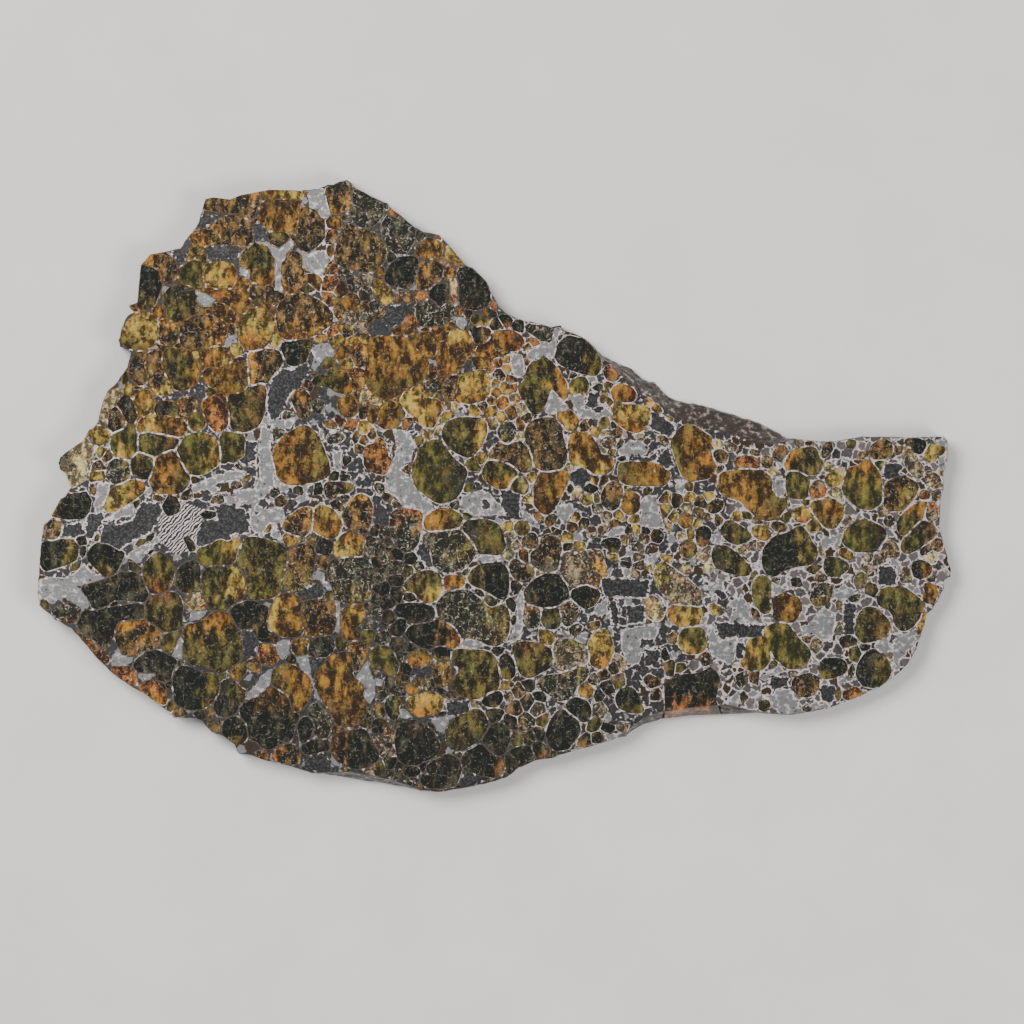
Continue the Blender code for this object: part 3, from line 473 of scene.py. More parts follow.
# Light-grey metal, wide enough to stand clear of the bright borders, in photograph pixels.
LIGHT_FIELDS = """
98,482 110,482 107,496 102,508 94,506 97,496
195,290 217,300 205,306 198,302
239,267 249,270 250,280 240,274
255,240 268,243 279,249 290,240 296,243 286,254 283,295 275,295 275,258 262,250
308,190 323,188 327,204 330,215 318,220 310,205
302,255 325,250 328,262 320,275 303,268
228,334 233,336 238,332 236,339 240,344 233,342 228,346 229,340
310,350 318,344 328,343 335,350 333,358 326,356 322,362 315,370 311,366 314,358
262,425 272,430 270,450 275,470 274,485 262,498 248,508 236,508 240,498 254,490 260,478 258,455
192,486 210,478 232,470 246,472 240,480 222,482 204,490 194,494
268,420 295,420 290,428 270,427
332,450 342,452 340,470 335,470
395,430 408,432 415,445 410,460 400,470 412,480 430,505 410,505 385,490 385,480 393,465 397,448
463,495 485,490 500,505 508,515 475,515 460,508
456,318 464,316 467,324 462,330 456,325
511,352 522,356 525,372 519,378 512,374
527,352 540,345 548,340 556,328 562,328 556,340 556,350 552,358 545,356 534,360 527,358
552,390 558,396 568,408 560,411 555,414 545,414 548,400
571,396 582,394 585,400 584,408 592,410 600,405 606,404 612,414 604,420 590,418 580,418 576,410
563,432 569,437 567,445 561,449 560,440
615,455 625,445 632,440 640,440 648,448 646,455 640,456 627,455
775,478 785,480 784,496 777,498
712,535 722,535 722,545 712,542
818,535 830,538 842,533 840,545 830,544 825,550
675,480 685,480 684,495 677,492
935,440 946,440 945,470 940,470
40,580 55,577 64,579 70,575 78,571 84,564 90,571 98,575 106,578 98,581 88,583 78,586 82,592 88,600 90,607 \
82,608 72,602 65,598 58,600 52,605 45,598 39,598 37,590
104,520 112,515 122,509 132,504 135,511 130,516 120,518 110,521
158,535 150,543 140,547 130,552 127,558 137,563 141,562 145,553 150,549 155,545 160,540
137,674 157,673 155,676 142,682
172,655 180,635 183,640 182,660 170,655
110,660 118,648 122,655 134,657 130,664 112,667
190,612 208,610 200,620 189,620
236,490 262,490 258,502 252,516 262,512 270,508 282,508 285,520 275,523 268,523 262,533 255,533 248,520 \
243,505 235,503
275,522 283,543 270,535
275,645 283,639 291,640 288,655 282,660 277,652
296,657 308,655 315,665 308,675 300,668
312,575 318,569 322,572 328,582 333,590 327,590 320,580 313,580
335,600 340,602 340,632 335,632
262,675 272,668 270,685 258,695 248,700 243,698 256,684
395,490 415,490 430,500 433,510 425,516 421,510 405,507 398,500
520,510 530,514 540,528 532,526 524,518
474,558 485,555 500,557 505,560 480,563
461,640 475,639 485,645 470,649 462,646
516,600 522,590 524,600 522,625 520,638 513,642 508,645 512,635 518,620 517,605
355,678 366,662 369,657 369,670 374,680 375,695 370,705 365,698 364,685
376,678 384,680 382,686 375,686
400,707 407,712 412,718 402,719 399,712
428,717 450,717 447,725 443,733 438,732 433,722
605,734 628,733 626,740 606,740
556,506 570,504 574,510 570,518 563,522 557,515
640,500 650,495 658,502 660,515 664,528 652,528 640,524 641,512
605,535 615,528 625,527 622,534 610,537
621,630 636,627 645,625 660,625 655,640 648,645 642,655 637,665 628,664 622,650
597,605 608,598 607,612 600,617 594,612
650,555 660,552 655,562 645,565
713,628 720,640 730,640 738,635 738,642 733,650 735,660 728,665 722,660 712,655 709,645 709,633
741,593 746,603 752,618 757,622 745,620 733,622 730,618 737,606
700,587 712,584 722,580 724,590 728,597 722,600 717,597 710,590
775,692 785,686 790,690 795,700 800,706 803,713 790,716 780,714 772,706 770,698
760,678 770,672 781,665 783,671 775,676 765,680
772,583 780,586 785,590 780,597 773,594
800,628 812,622 822,608 830,610 835,622 832,640 822,640 815,635 805,635
835,590 845,585 855,592 845,600 835,600
810,703 830,705 840,702 820,712 812,710
728,700 740,690 738,702 736,712 729,710
893,640 910,632 918,628 915,640 905,655 895,668 893,655
872,643 888,637 890,650 885,655 875,648
890,552 908,576 900,578 888,560
862,690 885,689 880,695 862,696
""".strip().splitlines()

# Fine dark metal inside the wider channels.
SLATE_FIELDS = """
482,499 487,498 491,502 491,507 487,510 482,509
62,526 80,522 86,532 74,538 62,536
167,252 182,248 187,256 184,266 176,270 176,260
252,226 259,222 267,230 263,241 254,240
207,246 240,245 240,258 208,262
198,215 212,215 218,220 205,228 194,230
272,378 280,370 295,368 308,362 312,372 300,385 290,395 285,405 280,418 270,420 266,405 268,392
193,388 200,380 207,388 195,394
155,397 175,391 190,391 188,396 170,399 156,402
390,305 412,303 415,315 403,322 395,328 380,325
652,412 663,416 670,423 676,427 674,434 669,437 658,432 649,429
571,472 578,467 586,468 592,474 588,482 583,487 575,487 570,481
884,466 889,463 898,463 903,468 898,476 888,480 882,478
655,462 668,445 674,466 666,470
630,456 650,457 656,450 660,462 640,461 624,462
590,392 600,392 598,402 605,408 598,414 590,408 585,404
88,514 104,512 102,524 96,532 90,545 84,530
99,547 118,554 124,546 152,532 162,512 160,502 142,502 136,512 132,520 118,525 103,524
195,520 230,520 232,545 214,552 196,545
183,503 190,500 200,499 206,503 206,509 198,511 187,510
183,612 189,612 188,621 183,624
215,505 250,505 250,533 222,535
242,630 251,629 258,641 256,657 243,658
308,658 325,658 325,672 312,672
300,590 315,583 325,590 322,598 305,600
500,490 520,490 520,520 504,520
421,543 430,551 432,565 436,570 425,565 420,558 415,552
413,668 425,667 424,677 412,677
452,665 458,668 457,677 452,676
372,628 376,617 380,625 378,632
302,757 325,752 332,765 340,770 325,775 310,770 303,765
445,702 470,700 468,716 448,716
463,772 475,774 490,778 480,784 463,788 460,782
600,578 650,580 648,598 604,596
610,602 618,600 618,624 611,624
627,606 645,605 645,622 628,624
645,650 660,650 660,668 646,666
640,638 655,640 654,648 641,647
619,557 632,556 632,567 620,568
715,622 765,624 762,638 718,638
735,642 745,642 744,660 736,658
716,590 730,592 728,608 717,610
770,676 790,677 788,689 771,690
843,602 856,604 854,638 844,638
820,684 835,686 833,702 821,702
878,566 897,566 896,586 878,586
240,440 256,442 256,460 244,466 236,456
330,430 352,432 350,446 334,446
370,440 392,444 388,460 372,458
""".strip().splitlines()

# Metal that the etching has drawn into fine parallel plates.
PLATED_FIELD = "158,522 178,500 205,510 200,530 190,550 175,555 160,540"

# Where the olivine is broken small, from the first patch that holds a place.
RUBBLE_ZONES = [zone_of(words, pixels) for words, pixels in rows_of("""
2.6 0.92 AMBER BROWN GOLD OLIVE AMBER RED: 180,180 340,180 340,330 250,370 120,350 120,240
2.6 0.95 TAN SMOKY DARK BROWN AMBER: 340,180 430,220 400,330 340,330
2.3 0.95 AMBER DARK RED DARK BROWN AMBER: 430,220 520,320 520,345 400,330
2.0 0.90 BROWN AMBER CREAM RED AMBER GOLD: 340,330 540,330 540,430 340,430
1.9 0.5 BROWN GOLD DARK CREAM OLIVE: 540,320 700,390 700,500 540,500
1.9 0.6 BROWN TAN SMOKY GOLD CREAM DARK: 480,430 720,430 720,580 480,580
2.0 0.45 DARK SMOKY BROWN: 300,400 400,400 400,520 200,520 200,430
2.2 0.95 SMOKY DARK OLIVE SMOKY DARK: 360,500 540,500 540,660 360,660
2.3 0.95 SMOKY TAN OLIVE DARK BROWN: 360,660 600,640 620,800 360,800
2.2 0.5 DARK DARK OLIVE: 30,500 200,500 200,620 30,620
2.6 0.93 DARK BROWN DARK AMBER OLIVE: 30,600 360,500 360,800 30,800
2.0 0.45 TAN CREAM BROWN GOLD TAN GREEN: 700,390 960,420 960,560 700,560
2.2 0.35 DARK TAN BROWN SMOKY OLIVE: 560,540 960,540 960,760 560,760
2.5 0.9 OLIVE GOLD BROWN GREEN: 0,0 1024,0 1024,1024 0,1024
""")]

# The patch of amber crystals at the upper left.
AMBER_CORNER = "120,180 300,180 310,240 300,330 230,350 250,400 200,425 95,420 110,330 130,250"

# Where the metal between the crystals is dull and thin.
TARNISHED_ZONES = (
    "40,610 130,560 110,600 180,700 120,680",
    "352,510 412,520 402,600 445,650 460,700 350,690",
    AMBER_CORNER,
    "335,180 400,200 500,310 470,330 340,330",
    "300,340 440,330 500,350 450,400 300,420",
    "70,600 130,560 330,540 370,620 330,690 180,690 90,650",
    "170,700 400,700 560,740 540,780 430,800 260,780",
)

# Where that metal takes the colour of the amber crystals round it.
AMBER_ZONES = (AMBER_CORNER, "330,300 440,310 530,330 500,380 440,420 340,410")

# Where the open metal is a browner grey.
TAUPE_ZONES = ("740,450 960,420 960,760 700,740 690,620 730,540",)

# What the metal's finish reads, and the outlines that each distance is measured to.
METAL_LAYERS = {"light_gap": LIGHT_FIELDS, "slate_gap": SLATE_FIELDS, "plated_gap": (PLATED_FIELD,),
                "tarnish_gap": TARNISHED_ZONES, "amber_gap": AMBER_ZONES, "taupe_gap": TAUPE_ZONES}


@dataclass(frozen=True)
class Photograph:
    """Where the slice lies in the photograph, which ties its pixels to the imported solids.

    Attributes:
        mm_per_pixel: real size of one pixel on the front face.
        west_column, east_column, north_row, south_row: the slice's extent, in pixels.
        side: width and height of the photograph, in pixels.
    """

    mm_per_pixel: float
    west_column: float = 37.0
    east_column: float = 951.0
    north_row: float = 179.0
    south_row: float = 793.0
    side: float = 1024.0

    @classmethod
    def fitted(cls, low: Vector, high: Vector) -> "Photograph":
        """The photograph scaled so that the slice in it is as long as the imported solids.

        Args:
            low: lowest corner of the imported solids, in metres.
            high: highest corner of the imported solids, in metres.

        Returns:
            The photograph with its scale worked out.
        """
        length = (high.x - low.x) / METRES_PER_MM
        return cls(mm_per_pixel=length / (cls.east_column - cls.west_column))

    def placed(self, points: np.ndarray) -> np.ndarray:
        """Pixel positions, one (column, row) in each line, as millimetres on the slice."""
        middle = ((self.west_column + self.east_column) / 2, (self.north_row + self.south_row) / 2)
        return (points - middle) * (self.mm_per_pixel, -self.mm_per_pixel)

    def outline(self, pixels: str) -> Outline:
        """An outline written as "column,row column,row" pixels, in millimetres, anticlockwise."""
        points = np.array([[float(number) for number in pair.split(",")] for pair in pixels.split()])
        return anticlockwise(self.placed(points))

    def outlines(self, *tables: list[str] | tuple[str, ...]) -> list[Outline]:
        """All the outlines of one or more tables."""
        return [self.outline(pixels) for table in tables for pixels in table]


def signed_area(outline: Outline) -> float:
    """Area of an outline, which is positive if it runs anticlockwise."""
    x, y = outline.T
    return float(np.sum(x * np.roll(y, -1) - np.roll(x, -1) * y) / 2)


def anticlockwise(outline: Outline) -> Outline:
    """The outline with its points in anticlockwise order."""
    return outline if signed_area(outline) > 0 else outline[::-1]


def unit(steps: np.ndarray) -> np.ndarray:
    """Each step with a length of one."""
    return steps / np.maximum(np.linalg.norm(steps, axis=1, keepdims=True), 1e-9)


def outward(outline: Outline) -> np.ndarray:
    """The unit direction that points out of an anticlockwise outline at each of its points."""
    run = unit(np.roll(outline, -1, axis=0) - outline)
    normal = np.stack((run[:, 1], -run[:, 0]), axis=1)
    return unit(normal + np.roll(normal, 1, axis=0))


def stepped(outline: Outline, distance: float) -> Outline:
    """The outline moved outwards all round by a distance, or inwards by a negative one."""
    return outline + outward(outline) * distance


def widened(outline: Outline, distance: float) -> Outline:
    """The outline moved outwards all round, less the points that cross over in a narrow notch."""
    points = stepped(outline, distance)
    kept = points[distance_to(outline, points) > distance * NOTCH_SHARE]
    return kept if len(kept) > 3 else outline


def smoothed(outline: Outline, passes: int) -> Outline:
    """The outline with each point drawn towards the middle of its neighbours, again and again."""
    for _ in range(passes):
        outline = outline / 2 + (np.roll(outline, 1, axis=0) + np.roll(outline, -1, axis=0)) / 4
    return outline


def corners_cut(outline: Outline, cut: float) -> Outline:
    """The outline with its corners cut off by a share of each edge."""
    follow = np.roll(outline, -1, axis=0)
    early = outline * (1 - cut) + follow * cut
    late = outline * cut + follow * (1 - cut)
    return np.stack((early, late), axis=1).reshape(-1, 2)


def sampled(outline: Outline, spacing: float) -> np.ndarray:
    """Points all along an outline, no further apart than the spacing.

    Args:
        outline: the outline.
        spacing: the largest distance between two points.

    Returns:
        The points, in order round the outline.
    """
    runs = []
    for start, end in zip(outline, np.roll(outline, -1, axis=0)):
        count = max(1, math.ceil(float(np.linalg.norm(end - start)) / spacing))
        runs.append(start + (end - start) * (np.arange(count)[:, None] / count))
    return np.concatenate(runs)


def roughened(outline: Outline, amount: float, grain: float, seed: float) -> Outline:
    """The outline with small waves in it.

    Args:
        outline: the outline, anticlockwise.
        amount: how far a wave goes either way, in millimetres.
        grain: length of a wave, in millimetres.
        seed: a number that picks the waves.

    Returns:
        The rough outline, with as many points.
    """
    waves = [noise.noise(Vector((x / grain, y / grain, seed))) for x, y in outline]
    return outline + outward(outline) * (np.array(waves) * amount)[:, None]


def inside(outline: Outline, points: np.ndarray) -> np.ndarray:
    """Whether each point lies within the outline.

    Args:
        outline: the outline.
        points: the points, one in each row.

    Returns:
        True for each point that does.
    """
    x, y = points.T
    within = np.zeros(len(points), bool)
    for (x1, y1), (x2, y2) in zip(outline, np.roll(outline, -1, axis=0)):
        slope = (x2 - x1) / (y2 - y1) if y2 != y1 else 0.0
        within ^= ((y1 > y) != (y2 > y)) & (x < (y - y1) * slope + x1)
    return within


def distance_to(outline: Outline, points: np.ndarray) -> np.ndarray:
    """Distance from each point to the nearest edge of an outline.

    Args:
        outline: the outline.
        points: the points, one in each row.

    Returns:
        The distances.
    """
    run = np.roll(outline, -1, axis=0) - outline
    length_squared = np.maximum(np.sum(run * run, axis=1), 1e-12)
    reach = points[:, None, :] - outline[None, :, :]
    share = np.clip(np.sum(reach * run[None], axis=2) / length_squared[None], 0.0, 1.0)
    return np.sqrt(np.min(np.sum((reach - run[None] * share[..., None]) ** 2, axis=2), axis=1))


def signed_distance(outline: Outline, points: np.ndarray, reach: float) -> np.ndarray:
    """Distance from each point to an outline, negative within it, and no more than the reach.

    Args:
        outline: the outline.
        points: the points, one in each row.
        reach: the largest distance that counts.

    Returns:
        The distances.
    """
    result = np.full(len(points), reach)
    low, high = outline.min(axis=0) - reach, outline.max(axis=0) + reach
    near = np.flatnonzero(np.all((points > low) & (points < high), axis=1))
    if len(near):
        gaps = distance_to(outline, points[near])
        result[near] = np.minimum(np.where(inside(outline, points[near]), -gaps, gaps), reach)
    return result


def nearest_field(outlines: list[Outline], points: np.ndarray, reach: float) -> np.ndarray:
    """Signed distance from each point to the nearest of several outlines.

    Args:
        outlines: the outlines.
        points: the points, one in each row.
        reach: the largest distance that counts.

    Returns:
        The distances.
    """
    result = np.full(len(points), reach)
    for outline in outlines:
        result = np.minimum(result, signed_distance(outline, points, reach))
    return result


def clipped(polygon: list[Point], middle: Point, other: Point, share: float) -> list[Point]:
    """A polygon cut off by a line between its middle and another point.

    Args:
        polygon: the polygon's points.
        middle: a point that stays within it.
        other: the point that lies across the line.
        share: where between the two points the line crosses, square to the way from one to the other.

    Returns:
        The polygon's part on the middle's side of the line.
    """
    foot = [start + (end - start) * share for start, end in zip(middle, other)]
    across, up = foot[0] - middle[0], foot[1] - middle[1]
    limit = across * foot[0] + up * foot[1]
    over = [across * x + up * y - limit for x, y in polygon]
    kept = []
    for index, (x, y) in enumerate(polygon):
        before = index - 1
        if (over[before] > 0) != (over[index] > 0):
            share = over[before] / (over[before] - over[index])
            last_x, last_y = polygon[before]
            kept.append((last_x + (x - last_x) * share, last_y + (y - last_y) * share))
        if over[index] <= 0:
            kept.append((x, y))
    return kept


class Landmarks:
    """Points along many outlines, which tell how near the closest one is."""

    def __init__(self, outlines: list[Outline], spacing: float) -> None:
        """Samples the outlines.

        Args:
            outlines: the outlines to measure to.
            spacing: the samples' distance along them, in millimetres.
        """
        points = np.concatenate([sampled(outline, spacing) for outline in outlines])
        self.tree = kdtree.KDTree(len(points))
        for index, (x, y) in enumerate(points):
            self.tree.insert((x, y, 0.0), index)
        self.tree.balance()

    def distances(self, points: np.ndarray) -> np.ndarray:
        """Distance from each point to the nearest sample."""
        return np.array([self.tree.find((x, y, 0.0))[2] for x, y in points])

    def near(self, point: Point, reach: float) -> list[Point]:
        """The samples within reach of a point."""
        return [found[0].xy.to_tuple() for found in self.tree.find_range((*point, 0.0), reach)]


def merged_copy(node: bpy.types.Object) -> bmesh.types.BMesh:
    """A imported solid's mesh with its loose triangles joined up, in metres."""
    shape = bmesh.new()
    shape.from_mesh(node.data)
    bmesh.ops.remove_doubles(shape, verts=shape.verts, dist=MERGE_DISTANCE)
    return shape


def triangulate(shape: bmesh.types.BMesh) -> None:
    """Cut every face into triangles, at a scale where the smallest faces still count."""
    bmesh.ops.scale(shape, verts=shape.verts, vec=(FINE_SCALE,) * 3)
    bmesh.ops.triangulate(shape, faces=shape.faces)
    bmesh.ops.scale(shape, verts=shape.verts, vec=(1.0 / FINE_SCALE,) * 3)


def write_mesh(shape: bmesh.types.BMesh, mesh: bpy.types.Mesh) -> None:
    """Write a shape into a mesh as triangles, and let the shape go."""
    triangulate(shape)
    shape.to_mesh(mesh)
    shape.free()


def vertex_places(mesh: bpy.types.Mesh) -> np.ndarray:
    """The places of a mesh's vertices, in millimetres."""
    places = np.empty(len(mesh.vertices) * 3, np.float32)
    mesh.vertices.foreach_get("co", places)
    return places.reshape(-1, 3).astype(float) / METRES_PER_MM


def boundary_loops(faces: list[bmesh.types.BMFace]) -> list[list[bmesh.types.BMVert]]:
    """The closed loops of edges round a patch of faces, the longest first.

    Args:
        faces: the patch.

    Returns:
        Each loop's vertices in order.
    """
    patch = set(faces)
    follow = {}
    for face in faces:
        for loop in face.loops:
            if not any(other in patch for other in loop.edge.link_faces if other is not face):
                follow[loop.vert] = loop.link_loop_next.vert
    loops = []
    while follow:
        start, vertex = follow.popitem()
        loop = [start]
        while vertex is not start:
            loop.append(vertex)
            vertex = follow.pop(vertex)
        loops.append(loop)
    return sorted(loops, key=len, reverse=True)


def level_faces(shape: bmesh.types.BMesh, height: float) -> list[bmesh.types.BMFace]:
    """The faces that lie flat at one height."""
    return [face for face in shape.faces
            if all(abs(vertex.co.z - height) < MERGE_DISTANCE for vertex in face.verts)]


def plane_outline(loop: list[bmesh.types.BMVert]) -> Outline:
    """A loop of vertices seen from above, in millimetres, anticlockwise."""
    return anticlockwise(np.array([vertex.co.xy[:] for vertex in loop]) / METRES_PER_MM)


# Drawing of materials: a band's core, the noises' roughness, how patterns shift, and how deep bumps are.
BAND_CORE = 0.45
NOISE_ROUGHNESS = 0.6
SHIFT_HEADING = (1.0, 0.7, 0.4)
BUMP_DEPTH = 1e-4


class Wiring:
    """Adds nodes to a node tree and links them."""

    def __init__(self, tree: bpy.types.NodeTree) -> None:
        """Works on an empty tree."""
        self.tree = tree

    def feed(self, node: bpy.types.Node, inputs: dict) -> None:
        """Give a node's inputs, by name or number, a value or another node's output each."""
        for name, value in inputs.items():
            if isinstance(value, Socket):
                self.tree.links.new(value, node.inputs[name])
            else:
                node.inputs[name].default_value = value

    def node(self, kind: str, inputs: dict | None = None, **settings: object) -> bpy.types.Node:
        """A new node.

        Args:
            kind: its Blender type.
            inputs: a value, or an output of another node, for each input by name or number.
            settings: the node's own properties.

        Returns:
            The node.
        """
        node = self.tree.nodes.new(kind)
        for name, value in settings.items():
            setattr(node, name, value)
        self.feed(node, inputs or {})
        return node

    def math(self, operation: str, first: Socket | float, second: Socket | float = 0.0,
             clamp: bool = False) -> Socket:
        """One sum of two numbers."""
        node = self.node("ShaderNodeMath", {0: first, 1: second}, operation=operation, use_clamp=clamp)
        return node.outputs[0]

    def plus(self, first: Socket, *others: Socket) -> Socket:
        """Several numbers added up."""
        for other in others:
            first = self.math("ADD", first, other)
        return first

    def times(self, first: Socket, second: Socket | float) -> Socket:
        """One number times another."""
        return self.math("MULTIPLY", first, second)

    def swing(self, noise_value: Socket, reach: float) -> Socket:
        """A noise from 0 to 1 as one that swings either side of nothing."""
        return self.times(self.math("SUBTRACT", noise_value, 0.5), reach)

    def blend(self, share: Socket | float, first: object, second: object, mode: str = "MIX") -> Socket:
        """Two colours mixed by a share of the second."""
        colours = [value if isinstance(value, Socket) else (*value, 1.0) for value in (first, second)]
        node = self.node("ShaderNodeMix", {0: share, 6: colours[0], 7: colours[1]},
                         data_type="RGBA", blend_type=mode)
        return node.outputs[2]

    def layered(self, colour: Socket, layers: list[tuple[Socket, object]]) -> Socket:
        """A colour with others laid over it in turn, each by its share."""
        for share, layer in layers:
            colour = self.blend(share, colour, layer)
        return colour

    def step(self, value: Socket, span: Span, start: float = 0.0, end: float = 1.0) -> Socket:
        """A number that goes smoothly from the start to the end as the value crosses the span."""
        node = self.node("ShaderNodeMapRange", {"Value": value, "From Min": span[0], "From Max": span[1],
                                                "To Min": start, "To Max": end},
                         interpolation_type="SMOOTHSTEP")
        return node.outputs["Result"]

    def fall(self, value: Socket, span: Span, start: float = 1.0) -> Socket:
        """A number that falls smoothly from the start to nothing as the value crosses the span."""
        return self.step(value, span, start, 0.0)

    def band(self, value: Socket, middle: float, half: float) -> Socket:
        """One where the value is at the middle, and nothing further than half a band away."""
        away = self.math("ABSOLUTE", self.math("SUBTRACT", value, middle))
        return self.fall(away, (half * BAND_CORE, half))

    def attribute(self, name: str, output: str = "Fac") -> Socket:
        """What a mesh stores on its vertices."""
        return self.node("ShaderNodeAttribute", attribute_name=name).outputs[output]

    def object_place(self) -> Socket:
        """The place on the object, in metres."""
        return self.node("ShaderNodeTexCoord").outputs["Object"]

    def cloud(self, place: Socket, per_metre: float, detail: float, output: str = "Fac") -> Socket:
        """Soft noise with finer layers in it: a number, or with the output "Color" three."""
        node = self.node("ShaderNodeTexNoise", {"Vector": place, "Scale": per_metre, "Detail": detail,
                                                "Roughness": NOISE_ROUGHNESS})
        return node.outputs[output]

    def cells(self, place: Socket, per_metre: float) -> list[Socket]:
        """Three random numbers for each cell of a pattern of cells."""
        node = self.node("ShaderNodeTexVoronoi", {"Vector": place, "Scale": per_metre})
        return list(self.node("ShaderNodeSeparateColor", {0: node.outputs["Color"]}).outputs)

    def cell_edge(self, place: Socket, per_metre: float) -> Socket:
        """The distance to the nearest edge between two cells."""
        node = self.node("ShaderNodeTexVoronoi", {"Vector": place, "Scale": per_metre},
                         feature="DISTANCE_TO_EDGE")
        return node.outputs["Distance"]

    def vector(self, operation: str, inputs: dict) -> Socket:
        """One sum of vectors."""
        return self.node("ShaderNodeVectorMath", inputs, operation=operation).outputs[0]

    def shifted(self, place: Socket, own: Socket, reach: float) -> Socket:
        """The place moved along by a crystal's own number, so that no two share a pattern."""
        shift = self.vector("SCALE", {0: SHIFT_HEADING, "Scale": self.times(own, reach)})
        return self.vector("ADD", {0: place, 1: shift})

    def stirred(self, place: Socket, per_metre: float, reach: float) -> Socket:
        """The place pushed about by noise, no further than its reach in metres."""
        push = self.cloud(place, per_metre, 1.0, "Color")
        centred = self.vector("SUBTRACT", {0: push, 1: (0.5, 0.5, 0.5)})
        return self.vector("ADD", {0: place, 1: self.vector("SCALE", {0: centred, "Scale": reach * 2})})

    def turned(self, place: Socket, rotation: Socket | Colour, scale: Colour) -> Socket:
        """The place turned and stretched."""
        node = self.node("ShaderNodeMapping", {"Vector": place, "Rotation": rotation, "Scale": scale})
        return node.outputs[0]

    def bump(self, height: Socket, strength: float) -> Socket:
        """Normals that follow a height."""
        return self.node("ShaderNodeBump", {"Strength": strength, "Distance": BUMP_DEPTH,
                                            "Height": height}).outputs[0]


def new_material(name: str) -> tuple[bpy.types.Material, Wiring, bpy.types.Node]:
    """A material with its wiring and its shader."""
    material = bpy.data.materials.new(name)
    material.use_nodes = True
    return material, Wiring(material.node_tree), material.node_tree.nodes["Principled BSDF"]


@dataclass
class Pane:
    """One crystal, grain or fragment as it shows in the front face.

    Attributes:
        outline: its outline in millimetres, anticlockwise.
        look: how it is coloured.
        depth: how deep it reaches below the front face, in millimetres.
        node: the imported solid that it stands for, if it has one.
    """

    outline: Outline
    look: Look
    depth: float
    node: str = ""

    def __post_init__(self) -> None:
        """Works out the outline's middle and its box."""
        self.reshape(self.outline)

    def reshape(self, outline: Outline) -> None:
        """Take a new outline."""
        self.outline = outline
        self.middle = outline.mean(axis=0)
        self.low = outline.min(axis=0)
        self.high = outline.max(axis=0)


